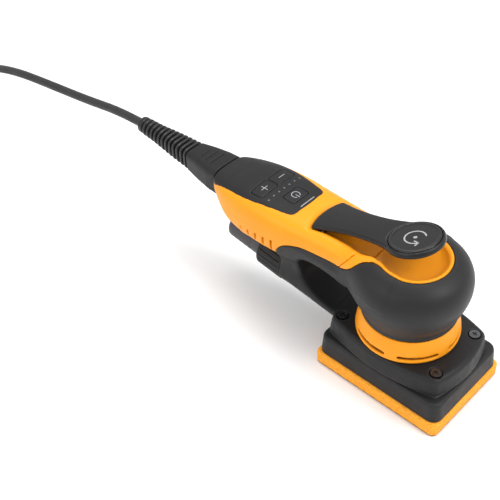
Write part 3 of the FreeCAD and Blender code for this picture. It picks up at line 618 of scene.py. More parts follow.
def shroud(p):
    """The black cover over the pad, hollow underneath."""
    x, y, z = p.T
    side = shroud_side(p)
    shape = smax(side, z - SHROUD_HIGH, 3.2)
    shape = smax(shape, SHROUD_LOW - z, 1.0)
    shape = cut(shape, smax(side + WALL, z - SHROUD_HIGH + 2.5, 1.0), 0.6)
    screw = np.hypot(np.abs(x) - SHROUD_SCREW[0], np.abs(y) - SHROUD_SCREW[1])
    shape = cut(shape, smax(screw - 4.3, SHROUD_HIGH - 1.4 - z, 0.5), 0.5)
    shape = cut(shape, screw - 2.3, 0.3)
    return cut(shape, np.hypot(x, y) - 24.0, 0.5)


def lower_housing(p):
    """The duct and the column, hollow from the shroud to the swivel."""
    along, away = outlet_place(p)
    shape = smax(torso(p), below_split(p) + 0.12, 0.3)
    shape = cut(shape, yellow_region(p) - 0.15, 0.6)
    shape = smax(shape, along + 0.2, 0.8)
    spigot = smax(away - 14.9, np.abs(along - 4.0) - 8.0, 0.5)
    shape = smin(shape, spigot, 0.3)
    shape = cut(shape, shroud_side(p) - 0.12, 0.3)
    inside = smin(DUCT(p) + 3.0, smax(away - OUTLET_BORE, np.abs(along - 3.0) - 12.0, 0.5), 2.0)
    inside = smax(inside, 2.6 - finger_outline(p[:, 0], p[:, 2]), 1.0)
    return cut(shape, inside, 0.5)


SLOT_TURN = 13.0


def vent_ring(p):
    """The yellow skirt with arc slots."""
    x, y, z = p.T
    r = np.hypot(x, y)
    low, high = 41.0, 57.7
    lean = (z - low) / (high - low)
    outer = 34.6 - 3.3 * lean + 0.5 * np.sin(np.pi * np.clip(lean, 0, 1))
    shape = smax(r - outer, low - z, 1.6)
    shape = smax(shape, z - high, 0.8)
    shape = cut(shape, r - 30.45, 0.4)
    shape = cut(shape, smax(r - outer + 1.7, np.abs(z - 45.0) - 3.2, 1.0), 0.4)
    angle = ((np.degrees(np.arctan2(y, x)) + SLOT_TURN) % 60.0) - 30.0
    arc = np.maximum(np.abs(np.radians(angle)) * r - 12.3, 0.0)
    slot = np.hypot(arc, z - 44.9) - 1.25
    return cut(shape, slot, 0.3)


def pad_plate(p):
    """The black plate over the foam, with room for the hub."""
    x, y, z = p[:, 0] - PAD_X, p[:, 1], p[:, 2]
    inset = 1.4 * (z - PLATE_LOW) / (PLATE_HIGH - PLATE_LOW)
    side = box_2d(x, y, (-48.9 + inset, 48.9 - inset), (-35.6 + inset * 0.4, 35.6 - inset * 0.4), 7.0)
    shape = smax(side, z - PLATE_HIGH, 2.2)
    shape = smax(shape, PLATE_LOW - z, 0.6)
    r = np.hypot(x, y)
    shape = cut(shape, smax(r - 32.0, 19.0 - z, 1.0), 0.5)
    return cut(shape, r - 22.2, 0.5)


def pad_foam(p):
    """The foam, its edges soft and a little uneven."""
    x, y, z = p[:, 0] - PAD_X, p[:, 1], p[:, 2]
    wobble = 0.10 * (np.sin(x * 0.9 + 1.0) * np.sin(y * 0.8) + np.sin(x * 0.37 + z) * np.sin(y * 0.31 + 2.0))
    half_x, half_y = (FOAM_HIGH[0] - FOAM_LOW[0]) / 2 - 0.1, (FOAM_HIGH[1] - FOAM_LOW[1]) / 2 - 0.1
    side = box_2d(x, y, (-half_x, half_x), (-half_y, half_y), 4.6) + wobble + 0.05
    shape = smax(side, z - FOAM_HIGH[2], 2.6)
    return smax(shape, FOAM_LOW[2] - z, 0.8)


def pad_facing(p):
    """The hook facing: a thin sheet with rows of low studs."""
    x, y, z = p[:, 0] - PAD_X, p[:, 1], p[:, 2]
    side = box_2d(x, y, (-49.7, 49.7), (-37.2, 37.2), 4.4)
    sheet = smax(side, np.abs(z - 0.78) - 0.38, 0.3)
    studs = np.hypot((x + 1.0) % 2.0 - 1.0, (y + 1.0) % 2.0 - 1.0) - 0.55
    studs = smax(smax(studs, np.abs(z - 0.4) - 0.38, 0.3), side + 1.0, 0.3)
    return smin(sheet, studs, 0.3)


# ---- keypad ----
KEYS = [("key_plus", "button_plus", "plus_key", (-123.8, -112.3), (-17.2, -0.2)),
        ("key_minus", "button_minus", "minus_key", (-123.8, -112.3), (0.2, 17.2)),
        ("key_power", "button_power", "power_key", (-102.8, -91.8), (-8.2, 8.2))]
LIGHTS_X = -107.7
LIGHT_PITCH = 5.2
LIGHT_LINE_X = -86.9
KEY_CORNER = 2.2
KEY_GAP = 0.42


def keypad_cover(p):
    """The satin black keypad, with a pocket for each key."""
    outside = body(p)
    shape = smax(outside - KEYPAD_PROUD, -(outside + KEYPAD_DEPTH), 0.4)
    shape = smax(shape, keypad_region(p), 0.6)
    for _, _, _, x_range, y_range in KEYS:
        pocket = smax(box_2d(p[:, 0], p[:, 1], x_range, y_range, KEY_CORNER), -(outside + 1.95), 0.3)
        shape = cut(shape, pocket, 0.3)
    return shape


def key_cap(x_range, y_range):
    """A key whose top follows the handle and swells a little."""
    def field(p):
        outside = body(p)
        side = box_2d(p[:, 0], p[:, 1], x_range, y_range, KEY_CORNER) + KEY_GAP
        swell = 0.12 * ramp(-side, 0.0, 4.0)
        return smax(smax(side, outside - KEYPAD_PROUD - swell, 0.7), -(outside + 1.2), 0.3)
    return field


def lie_on(surface, points, lift):
    """Heights that put plan points on a field's top, lifted by so much."""
    points = np.array(points, float)
    low, high = np.full(len(points), 80.0), np.full(len(points), 125.0)
    for _ in range(30):
        middle = (low + high) / 2
        inside = surface(np.column_stack([points, middle])) < lift
        low, high = np.where(inside, middle, low), np.where(inside, high, middle)
    return (low + high) / 2


def stroke(name, surface, line, width, lift=0.03, closed=False):
    """A thin printed line with round ends that lies on a field's top. The line is in plan."""
    line = np.array(line, float)
    ahead = np.roll(line, -1, 0) - np.roll(line, 1, 0) if closed else np.gradient(line, axis=0)
    across = np.stack([-ahead[:, 1], ahead[:, 0]], 1) / np.linalg.norm(ahead, axis=1)[:, None] * width / 2
    if not closed:
        along = ahead / np.linalg.norm(ahead, axis=1)[:, None] * width / 2
        line = np.vstack([line[0] - along[0], line, line[-1] + along[-1]])
        across = np.vstack([across[0] * 0.3, across, across[-1] * 0.3])
    plan = np.concatenate([line + across, line - across])
    count = len(line)
    height = lie_on(surface, plan, 0.0)
    top = np.column_stack([plan, height + lift])
    under = np.column_stack([plan, height - 0.12])
    points = np.concatenate([top, under])
    faces = []
    for i in range(count if closed else count - 1):
        j = (i + 1) % count
        a, b, c, d = i, j, count + j, count + i
        e, f, g, h = (n + 2 * count for n in (a, b, c, d))
        faces += [(a, b, c, d), (h, g, f, e), (a, e, f, b), (d, c, g, h)]
    if not closed:
        last = count - 1
        faces += [(0, count, 3 * count, 2 * count), (last, 2 * count + last, 3 * count + last, count + last)]
    return make_piece(name, points, faces, smooth=False)


def arc(centre, radius, start, end, count=24):
    """Points along an arc, in degrees."""
    angles = np.radians(np.linspace(start, end, count))
    return np.stack([centre[0] + radius * np.cos(angles), centre[1] + radius * np.sin(angles)], 1)


def line(a, b, count=6):
    """Points along a straight line."""
    t = np.linspace(0, 1, count)[:, None]
    return np.array(a, float) * (1 - t) + np.array(b, float) * t


# ---- start lever ----
LEVER_TILT = math.radians(15.0)
LEVER_ALONG = np.array((math.cos(LEVER_TILT), 0.0, math.sin(LEVER_TILT)))
LEVER_UP = np.array((-math.sin(LEVER_TILT), 0.0, math.cos(LEVER_TILT)))
LEVER_REAR = np.array((-70.3, 0.0, 98.1))
LEVER_PIN = (-64.0, 93.9)
LEVER_THICK = 3.5
DISC_AT = 71.5
DISC_RADIUS = 18.6
BADGE_RADIUS = 16.3
lever_outline = Outline(mirror_y(np.vstack([
    [(-3.4, 0.0)], smooth_line([(-3.1, 5.0), (-2.0, 10.5), (-0.4, 15.3)]), [(1.2, 16.2)],
    smooth_line([(3.0, 15.9), (14.0, 13.7), (30.0, 12.1), (46.0, 12.7), (57.0, 14.3),
                 (DISC_AT - 8.0, math.sqrt(DISC_RADIUS ** 2 - 64.0))]),
    arc((DISC_AT, 0.0), DISC_RADIUS, 114.0, 0.0)])))


def lever_place(p):
    """Along the lever, across it and above its top face."""
    q = p - LEVER_REAR
    return q @ LEVER_ALONG, q[:, 1], q @ LEVER_UP


def start_lever(p):
    """The paddle, slightly crowned, with a raised ring round its badge and two knuckles underneath."""
    u, v, w = lever_place(p)
    side = lever_outline(u, v)
    away = np.hypot(u - DISC_AT, v)
    crown = 0.5 * (np.minimum(np.abs(v), 16.0) / 14.0) ** 2 * (1 - ramp(u, 40.0, 56.0))
    shape = smax(side, w + crown, 1.8)
    shape = smax(shape, -w - LEVER_THICK, 1.6)
    rim = np.hypot(away - 17.3, w + 0.1) - 0.62
    shape = smin(shape, rim, 0.6)
    shape = cut(shape, smax(away - BADGE_RADIUS - 0.25, -0.95 - w, 0.3), 0.3)
    from_pin = np.hypot(p[:, 0] - LEVER_PIN[0], p[:, 2] - LEVER_PIN[1])
    knuckle_ends = np.abs(np.abs(v) - 8.0) - 4.0
    knuckle = smax(from_pin - 2.5, knuckle_ends, 0.4)
    web = np.maximum(np.abs(p[:, 0] - LEVER_PIN[0]) - 2.0, np.abs(p[:, 2] - 95.5) - 2.2)
    shape = smin(shape, smin(knuckle, smax(web, knuckle_ends, 0.4), 0.6), 0.8)
    return cut(shape, from_pin - 1.56, 0.2)


def lever_badge(p):
    """The round cap on the lever, dished slightly inside its edge."""
    u, v, w = lever_place(p)
    away = np.hypot(u - DISC_AT, v)
    top = 0.85 - 0.35 * ramp(BADGE_RADIUS - away, 0.8, 2.6)
    shape = smax(away - BADGE_RADIUS, w - top, 0.9)
    return smax(shape, -0.8 - w, 0.3)


def lever_badge_top(p):
    """The plane of the badge's dished top."""
    return (p - LEVER_REAR) @ LEVER_UP - 0.5


SPRING_LINE = smooth_line([(-59.0, 91.7), (-55.0, 91.7), (-50.5, 92.1), (-45.5, 95.2), (-41.0, 99.6),
                           (-37.8, 102.4), (-35.6, 103.1), (-33.6, 102.6), (-32.4, 101.8)], 6)


def return_spring():
    """The leaf spring in the trough: fixed at its rear end, its curled tip under the lever."""
    half_width, half_thick = 3.0, 0.3
    ahead = np.gradient(SPRING_LINE, axis=0)
    ahead /= np.linalg.norm(ahead, axis=1)[:, None]
    rings = []
    for (x, z), (dx, dz) in zip(SPRING_LINE, ahead):
        flat = squircle(0.0, 0.0, half_width, half_thick, 6.0, 24)
        rings.append(np.stack([x - dz * flat[:, 2], flat[:, 1], z + dx * flat[:, 2]], 1))
    return ring_piece("return_spring", rings)


# ---- swivel, plug and strain relief ----
def on_outlet(along, radius, angles):
    """A ring of points round the outlet's axis."""
    across = np.array((0.0, 1.0, 0.0))
    up = np.cross(OUTLET_AXIS, across)
    radius = np.broadcast_to(radius, angles.shape)
    return (OUTLET_START + along * OUTLET_AXIS + radius[:, None]
            * (np.cos(angles)[:, None] * across + np.sin(angles)[:, None] * up))


def hose_collar():
    """The collar: broad ridges along its axis, with narrow grooves between."""
    ridges, length = 24, 23.0
    angles = np.linspace(0, 2 * math.pi, ridges * 12, endpoint=False)
    groove = np.exp(-((((angles * ridges / (2 * math.pi)) % 1.0) - 0.5) / 0.13) ** 2)
    rings = []
    for s in [0.3, 0.5, 1.2, 2.0, 2.6, 3.4, *np.linspace(4.5, 19.0, 8), 20.4, 21.2, 22.0, 22.6, 22.9, 23.0]:
        edge = min(s - 0.3, length - s)
        outer = 18.0 - 0.9 * max(0.0, 1 - edge / 0.9) ** 2
        depth = 1.15 * float(ramp(edge, 1.0, 3.0))
        rings.append(on_outlet(s, outer - depth * groove, angles))
    inside = [(23.0, 15.0), (22.8, 14.86), (14.5, 14.86), (14.3, OUTLET_BORE), (12.7, OUTLET_BORE),
              (12.6, 15.35), (0.5, 15.35), (0.3, 15.6)]
    rings += [on_outlet(s, r, angles) for s, r in inside]
    return ring_piece("swivel_collar", rings, closed=True)


def hose_tube():
    """The tube that a dust hose is pushed over, with a rounded lip and two shallow rings."""
    angles = np.linspace(0, 2 * math.pi, 96, endpoint=False)
    profile = [(14.5, 14.82), (23.0, 14.82), (23.1, 14.25), (31.0, 14.25), (31.4, 14.05), (32.2, 14.05),
               (32.6, 14.25), (42.0, 14.25), (50.0, 14.25), (52.8, 14.22), (53.8, 14.0), (54.3, 13.6),
               (54.5, 13.2), (54.5, 12.9), (54.2, 12.6), (53.0, OUTLET_BORE), (30.0, OUTLET_BORE),
               (14.5, OUTLET_BORE)]
    return ring_piece("hose_spigot", [on_outlet(s, r, angles) for s, r in profile], closed=True)


def squircle(x, centre_z, width, height, power, around=80):
    """A ring across X, between an ellipse and a rectangle."""
    angles = np.linspace(0, 2 * math.pi, around, endpoint=False)
    c, s = np.cos(angles), np.sin(angles)
    r = ((np.abs(c) / width) ** power + (np.abs(s) / height) ** power) ** (-1 / power)
    return np.stack([np.full(around, x), r * c, centre_z + r * s], 1)


def plug_body():
    """The cable's plug at the back of the handle, with three grip grooves on top."""
    nodes = [-163.0, -172.0, -184.0, -197.0]
    widths, middles, heights = [14.1, 13.7, 12.0, 9.6], [81.8, 81.9, 82.2, 82.5], [11.4, 11.2, 10.2, 8.6]
    rings = [squircle(-162.6, 81.8, 10.0, 8.0, 4.0), squircle(-162.6, 81.8, 12.6, 9.9, 4.6),
             squircle(-162.75, 81.8, 13.3, 10.7, 4.8)]
    for x in np.arange(-163.0, -197.01, -0.25):
        w, m, h = (np.interp(-x, [-n for n in nodes], values) for values in (widths, middles, heights))
        end = max(0.0, -195.8 - x) / 1.2
        ring = squircle(x, m, w - 0.7 * end ** 2, h - 0.7 * end ** 2, 4.8)
        for groove, reach in ((-172.2, 8.2), (-178.3, 7.1), (-184.1, 5.8)):
            depth = 1.3 * math.exp(-((x - groove) / 0.5) ** 2)
            on_top = (ring[:, 2] > m) * (1 - ramp(np.abs(ring[:, 1]), reach - 0.8, reach + 0.4))
            ring[:, 2] -= depth * on_top
        side = 0.45 * math.exp(-((x + 166.0) / 3.0) ** 4) * np.exp(-((ring[:, 2] - 77.5) / 0.5) ** 2)
        ring[:, 1] -= np.sign(ring[:, 1]) * side
        rings.append(ring)
    rings.append(squircle(-197.1, 82.5, 7.6, 6.8, 4.0))
    return ring_piece("plug_body", rings)


def strain_relief():
    """Twelve ribs on a tapered core, square next to the plug and round at the cable."""
    length, ribs, pitch = 58.0, 12, 4.4
    rise = math.tan(math.radians(2.9))
    rings = []
    for s in np.arange(0.0, length + 0.01, 0.3):
        share = s / length
        core = 5.3 - 0.9 * share
        size = core
        for i in range(ribs):
            tall = 9.4 - 2.9 * i / ribs
            size += (tall - core) * math.exp(-((s - 2.4 - pitch * i) / 1.3) ** 6)
        size += (6.3 - core) * float(ramp(s, 53.4, 53.9)) * (1 - 0.25 * float(ramp(s, 57.0, 58.0)))
        power = 4.2 - 2.1 * float(ramp(share, 0.1, 0.75))
        rings.append(squircle(-196.9 - s, 82.5 + rise * s, size, size * (0.93 + 0.07 * share), power, 64))
    return ring_piece("cable_strain_relief", rings)


def mains_plug():
    """A round two-pin plug on the cable's far end, with finger grooves."""
    end, before = Vector(TAIL_ROUTE[-1]), Vector(TAIL_ROUTE[-2])
    heading = math.atan2(end.y - before.y, end.x - before.x)
    stations = [0, 8, 16, 26, 38, 50, 52]
    widths = [5.0, 5.4, 7.2, 12.0, 17.5, 17.6, 16.8]
    heights = [5.0, 5.4, 7.0, 10.0, 12.2, 12.3, 11.6]
    rings = []
    for s in np.arange(0.0, 52.01, 0.5):
        dent = 0.55 * sum(math.exp(-((s - g) / 0.6) ** 2) for g in (4.0, 7.0, 10.0, 30.0, 33.0, 36.0))
        width, height = (np.interp(s, stations, values) for values in (widths, heights))
        rings.append(squircle(s, 0.0, width - dent, height - dent * 0.6, 2.8))
    rings = np.array(rings)
    x, y = rings[..., 0].copy(), rings[..., 1].copy()
    rings[..., 0] = x * math.cos(heading) - y * math.sin(heading) + end.x / MM
    rings[..., 1] = x * math.sin(heading) + y * math.cos(heading) + end.y / MM
    rings[..., 2] += end.z / MM
    return ring_piece("plug_cover", rings)


# ---- materials ----
class Finish:
    """A procedural material, put together node by node."""

    def __init__(self, name, roughness, metallic=0.0, specular=0.5):
        self.material = bpy.data.materials.new(name)
        self.material.use_nodes = True
        self.tree = self.material.node_tree
        self.shader = self.tree.nodes["Principled BSDF"]
        self.shader.inputs["Metallic"].default_value = metallic
        self.shader.inputs["Specular IOR Level"].default_value = specular
        self.shader.inputs["Roughness"].default_value = roughness
        self.place = self.tree.nodes.new("ShaderNodeTexCoord").outputs["Object"]

    def feed(self, socket, value):
        """Links a socket, or sets it."""
        if isinstance(value, bpy.types.NodeSocket):
            self.tree.links.new(value, socket)
        else:
            socket.default_value = value

    def node(self, kind, inputs, **settings):
        """A new node with its settings made and its inputs set or linked."""
        node = self.tree.nodes.new("ShaderNode" + kind)
        for name, value in settings.items():
            setattr(node, name, value)
        for name, value in inputs.items():
            self.feed(node.inputs[name], value)
        return node

    def noise(self, scale, detail=3.0, stretch=None):
        """Noise from 0 to 1 in the piece's own coordinates, which stretch scales along each axis."""
        place = self.place
        if stretch is not None:
            place = self.node("Mapping", {"Scale": stretch, "Vector": place}).outputs["Vector"]
        return self.node("TexNoise", {"Scale": scale, "Detail": detail, "Vector": place}).outputs["Fac"]

    def cells(self, scale, feature="F1"):
        """Distance to scattered points."""
        inputs = {"Scale": scale, "Vector": self.place}
        return self.node("TexVoronoi", inputs, feature=feature).outputs["Distance"]

    def edges(self):
        """Where the surface is a worn outer edge."""
        return self.remap(self.node("NewGeometry", {}).outputs["Pointiness"], 0.505, 0.56, 0.0, 1.0)

    def remap(self, value, low, high, to_low, to_high):
        """The value moved from one range to another."""
        inputs = {"From Min": low, "From Max": high, "To Min": to_low, "To Max": to_high, "Value": value}
        return self.node("MapRange", inputs).outputs["Result"]

    def times(self, a, b):
        """The product of two values."""
        return self.node("Math", {0: a, 1: b}, operation="MULTIPLY").outputs[0]

    def blend(self, share, a, b):
        """A colour between two."""
        return self.node("Mix", {"Factor": share, 6: a, 7: b}, data_type="RGBA").outputs[2]

    def cloud(self, scale, detail, dark, light):
        """A colour that drifts between two."""
        return self.blend(self.noise(scale, detail), dark, light)

    def bump(self, height, distance, strength=1.0):
        """Raises the surface by a height map, after any bump before it."""
        node = self.node("Bump", {"Distance": distance, "Strength": strength, "Height": height})
        if self.shader.inputs["Normal"].links:
            self.feed(node.inputs["Normal"], self.shader.inputs["Normal"].links[0].from_socket)
        self.feed(self.shader.inputs["Normal"], node.outputs["Normal"])

    def colour(self, value):
        """The surface's colour."""
        self.feed(self.shader.inputs["Base Color"], value)

    def roughness(self, height, low, high):
        """Roughness between two values, by the middle of a noise's range."""
        self.feed(self.shader.inputs["Roughness"], self.remap(height, 0.3, 0.7, low, high))


def shade(colour, factor):
    """A colour made lighter or darker, with alpha."""
    return tuple(min(1.0, c * factor) for c in colour) + (1.0,)


def moulded(name, colour, roughness, grain, depth, worn=1.25, spread=0.06, specular=0.22, coat=0.0):
    """Moulded plastic: an even spark-eroded grain, faint cloudiness and lighter edges."""
    finish = Finish(name, roughness, specular=specular)
    cloud = finish.cloud(34.0, 4.0, shade(colour, 0.93), shade(colour, 1.06))
    rubbed = finish.times(finish.edges(), finish.noise(260.0, 4.0))
    finish.colour(finish.blend(rubbed, cloud, shade(colour, worn)))
    finish.roughness(finish.noise(150.0, 5.0), roughness - spread, roughness + spread)
    finish.bump(finish.noise(grain, 2.0), depth, 0.55)
    finish.bump(finish.noise(90.0, 2.0), depth * 2.0, 0.18)
    finish.shader.inputs["Coat Weight"].default_value = coat
    finish.shader.inputs["Coat Roughness"].default_value = 0.25
    return finish.material


def soft_touch(name, colour, roughness, sheen):
    """Overmoulded rubber: matte, with a soft sheen and handling marks."""
    finish = Finish(name, roughness, specular=0.25)
    cloud = finish.cloud(28.0, 5.0, shade(colour, 0.85), shade(colour, 1.15))
    finish.colour(finish.blend(finish.times(finish.edges(), finish.noise(300.0)), cloud, shade(colour, 1.7)))
    finish.roughness(finish.noise(45.0, 6.0), roughness - 0.05, roughness + 0.07)
    finish.bump(finish.noise(1500.0, 3.0), 0.00006, 0.5)
    finish.shader.inputs["Sheen Weight"].default_value = sheen
    finish.shader.inputs["Sheen Roughness"].default_value = 0.5
    return finish.material


def foam_finish():
    """Closed-cell foam: fine pores of two sizes, with painted shade darkening the pits that the pores sink.
    """
    finish = Finish("foam_cells", 0.8, specular=0.25)
    pores = finish.remap(finish.cells(900.0), 0.05, 0.5, 0.0, 1.0)
    large = finish.remap(finish.cells(330.0), 0.03, 0.35, 0.0, 1.0)
    tint = finish.cloud(60.0, 4.0, (0.86, 0.33, 0.022, 1.0), (0.97, 0.42, 0.04, 1.0))
    # painted shade: the small pores' pits, sunk by the bump below, are painted darker
    dark = finish.blend(pores, (0.62, 0.20, 0.012, 1.0), tint)
    # painted shade: the large pores' pits are painted darker the same way
    finish.colour(finish.blend(finish.remap(large, 0.0, 0.4, 0.0, 1.0), (0.55, 0.18, 0.01, 1.0), dark))
    finish.bump(pores, 0.00022, 0.7)
    finish.bump(large, 0.0003, 0.5)
    return finish.material


def hook_finish():
    """Moulded hook facing."""
    finish = Finish("hook_facing", 0.6, specular=0.3)
    finish.colour(finish.cloud(400.0, 4.0, (0.30, 0.11, 0.012, 1.0), (0.45, 0.17, 0.02, 1.0)))
    finish.bump(finish.cells(1400.0), 0.0002, 0.8)
    return finish.material


def metal(name, colour, roughness, stretch, grain=900.0):
    """Ground or cast metal: fine lines or specks and darker patches."""
    finish = Finish(name, roughness, metallic=1.0)
    finish.colour(finish.cloud(55.0, 5.0, shade(colour, 0.78), shade(colour, 1.08)))
    finish.roughness(finish.noise(grain, 3.0, stretch), roughness - 0.1, roughness + 0.12)
    finish.bump(finish.noise(grain, 2.0, stretch), 0.00003, 0.5)
    return finish.material


def copper_finish():
    """Enamelled wire lying side by side, with painted shade darkening the grooves between the turns."""
    finish = Finish("enamelled_copper", 0.35, metallic=1.0)
    inputs = {"Scale": 420.0, "Distortion": 0.8, "Vector": finish.place}
    turns = finish.node("TexWave", inputs, bands_direction="Z").outputs["Fac"]
    # painted shade: the colour darkens where the bump below sinks the grooves between turns
    finish.colour(finish.blend(turns, (0.30, 0.09, 0.03, 1.0), (0.75, 0.30, 0.12, 1.0)))
    finish.bump(turns, 0.0002, 0.8)
    return finish.material


def board_finish():
    """Solder mask over copper tracks."""
    finish = Finish("solder_mask", 0.35)
    tracks = finish.remap(finish.cells(160.0, "DISTANCE_TO_EDGE"), 0.02, 0.05, 0.0, 1.0)
    finish.colour(finish.blend(tracks, (0.05, 0.28, 0.09, 1.0), (0.012, 0.11, 0.035, 1.0)))
    finish.bump(tracks, 0.0001, 0.6)
    return finish.material


def cable_finish():
    """The cable's rubber sheath, dusty and faintly streaked."""
    finish = Finish("cable_sheath", 0.55, specular=0.4)
    finish.colour(finish.cloud(120.0, 5.0, (0.012, 0.012, 0.013, 1.0), (0.030, 0.030, 0.032, 1.0)))
    finish.roughness(finish.noise(70.0, 4.0), 0.42, 0.62)
    finish.bump(finish.noise(1100.0, 3.0), 0.00005, 0.5)
    return finish.material


def print_finish(name, colour):
    """Printed or translucent marks, a little uneven."""
    finish = Finish(name, 0.5)
    finish.colour(finish.cloud(900.0, 3.0, shade(colour, 0.85), shade(colour, 1.1)))
    finish.bump(finish.noise(2200.0), 0.00002, 0.4)
    return finish.material


YELLOW = (0.86, 0.305, 0.008)
CHARCOAL = (0.013, 0.013, 0.0135)
LEVER_BLACK = (0.009, 0.009, 0.0095)
RIB_BLACK = (0.010, 0.010, 0.0105)
finishes = {
    "yellow_plastic": moulded("yellow_moulding", YELLOW, 0.42, 1700.0, 0.00005, worn=1.12),
    "black_plastic": moulded("black_moulding", CHARCOAL, 0.48, 1300.0, 0.00009, worn=2.4),
    "soft_grip": soft_touch("soft_black_grip", (0.014, 0.014, 0.0145), 0.50, 0.02),
    "keypad_plastic": moulded("keypad_moulding", (0.015, 0.015, 0.016), 0.5, 1900.0, 0.00005, worn=2.2),
    "lever_plastic": moulded("lever_moulding", LEVER_BLACK, 0.36, 1500.0, 0.00006, worn=2.6, coat=0.1),
    "badge_plastic": moulded("badge_moulding", LEVER_BLACK, 0.26, 1500.0, 0.00003, worn=2.6, coat=0.25),
    "grey_plastic": moulded("grey_moulding", (0.055, 0.052, 0.058), 0.42, 1200.0, 0.00006, worn=1.8),
    "light_pipe": print_finish("light_pipe", (0.13, 0.13, 0.135)),
    "light_print": print_finish("light_print", (0.36, 0.36, 0.37)),
    "pad_foam": foam_finish(),
    "grip_facing": hook_finish(),
    "steel": metal("ground_steel", (0.56, 0.57, 0.58), 0.32, (1.0, 1.0, 9.0)),
    "screw_steel": metal("black_zinc", (0.11, 0.11, 0.115), 0.36, None),
    "aluminium": metal("cast_aluminium", (0.72, 0.72, 0.73), 0.45, None, 500.0),
    "magnet": metal("magnet_plating", (0.36, 0.35, 0.33), 0.4, None),
    "copper": copper_finish(),
    "circuit_board": board_finish(),
    "cable_rubber": cable_finish(),
    "ribbed_rubber": moulded("ribbed_rubber", RIB_BLACK, 0.34, 1200.0, 0.00005, worn=2.2, specular=0.45),
    "brass": metal("plated_brass", (0.80, 0.60, 0.25), 0.28, (1.0, 9.0, 1.0)),
}
slot_of = {part["node"]: part["material_slot"] for part in frame["record"]["subparts"]}


def wear(piece, slot, finish=None):
    """Gives a piece its material: the finish of its slot, unless another finish is named."""
    piece.data.materials.clear()
    piece.data.materials.append(finishes[finish or slot])


# ---- putting it together ----
def add(piece, body_name, slot, *nodes, finish=None):
    """A finished piece: its body, its slot and the CAD nodes it stands for."""
    wear(piece, slot, finish)
    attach(piece, body_name)
    if nodes:
        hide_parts(*nodes)
    return piece


def add_mark(name, body_name, surface, path, width, closed=False, finish="light_print"):
    """A printed mark on a surface."""
    mark = stroke(name, surface, path, width, closed=closed)
    return add(mark, body_name, "light_pipe", finish=finish)


def add_upper_body():
    """Shell, bowl and grip."""
    shell = field_piece("handle_shell_skin", handle_shell, (-165, -31, 52), (-14, 31, 103), 0.8)
    add(shell, "housing", "yellow_plastic", "handle_shell")
    bowl = field_piece("bowl_skin", bowl_shell, (-44, -31, 82), (27, 31, 106), 0.7)
    add(bowl, "housing", "yellow_plastic", "bowl_cover")
    grip = field_piece("head_grip_skin", head_grip, (-102, -40, 54), (41, 40, 106), 1.0)
    add(grip, "housing", "soft_grip", "head_grip")
    lower = field_piece("lower_housing_skin", lower_housing, (-112, -31, 17), (-36, 31, 69), 0.95)
    add(lower, "housing", "black_plastic", "dust_duct", "rear_column")


def add_base():
    """Skirt ring, shroud, pad plate, foam and facing."""
    ring = field_piece("vent_ring_skin", vent_ring, (-37, -37, 39), (37, 37, 60), 0.75)
    add(ring, "housing", "yellow_plastic", "vent_ring")
    cover = field_piece("shroud_skin", shroud, (-52, -39, 25), (52, 39, 43), 0.95)
    add(cover, "housing", "black_plastic", "shroud")
    add_eased("shroud_screws")
    add_eased("dust_seal")
    plate = field_piece("pad_plate_skin", pad_plate, (-50, -38, 8), (53, 38, 28), 1.1)
    add(plate, "pad", "black_plastic", "pad_plate")
    foam = field_piece("pad_foam_skin", pad_foam, (-51, -40, -1), (54, 40, 13), 0.95)
    add(foam, "pad", "pad_foam", "pad_foam")
    facing = field_piece("pad_facing_skin", pad_facing, (-50, -39, -0.5), (53, 39, 2), 0.5)
    add(facing, "pad", "grip_facing", "pad_facing")


def add_keypad():
    """Cover, keys, their symbols, the light dots and the light line."""
    cover = field_piece("keypad_skin", keypad_cover, (-165, -25, 85), (-82, 25, 101), 0.5)
    add(cover, "housing", "keypad_plastic", "keypad_cover")
    for name, node, body_name, x_range, y_range in KEYS:
        low, high = (x_range[0] - 1, y_range[0] - 1, 90), (x_range[1] + 1, y_range[1] + 1, 101)
        add(field_piece(name, key_cap(x_range, y_range), low, high, 0.4), body_name, "keypad_plastic", node)

    def key_top(p):
        return body(p) - KEYPAD_PROUD - 0.12
    marks = {
        "plus_key": [line((-118.0, -11.5), (-118.0, -5.9)), line((-120.8, -8.7), (-115.2, -8.7))],
        "minus_key": [line((-118.0, 5.9), (-118.0, 11.5))],
        "power_key": [arc((-97.3, 0.0), 2.9, 35, 325), line((-97.3, 0.0), (-93.9, 0.0))],
    }
    for body_name, lines in marks.items():
        for i, path in enumerate(lines):
            add_mark(f"{body_name}_mark_{i}", body_name, key_top, path, 0.5)

    def cover_top(p):
        return body(p) - KEYPAD_PROUD
    for i in range(7):
        dot = arc((LIGHTS_X, LIGHT_PITCH * (i - 3)), 0.34, 0, 330, 12)
        add_mark(f"light_dot_{i}", "housing", cover_top, dot, 0.66, closed=True, finish=None)
    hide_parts("status_leds")
    add_mark("light_line", "housing", cover_top, line((LIGHT_LINE_X, -6.6), (LIGHT_LINE_X, 6.6), 12), 0.62)


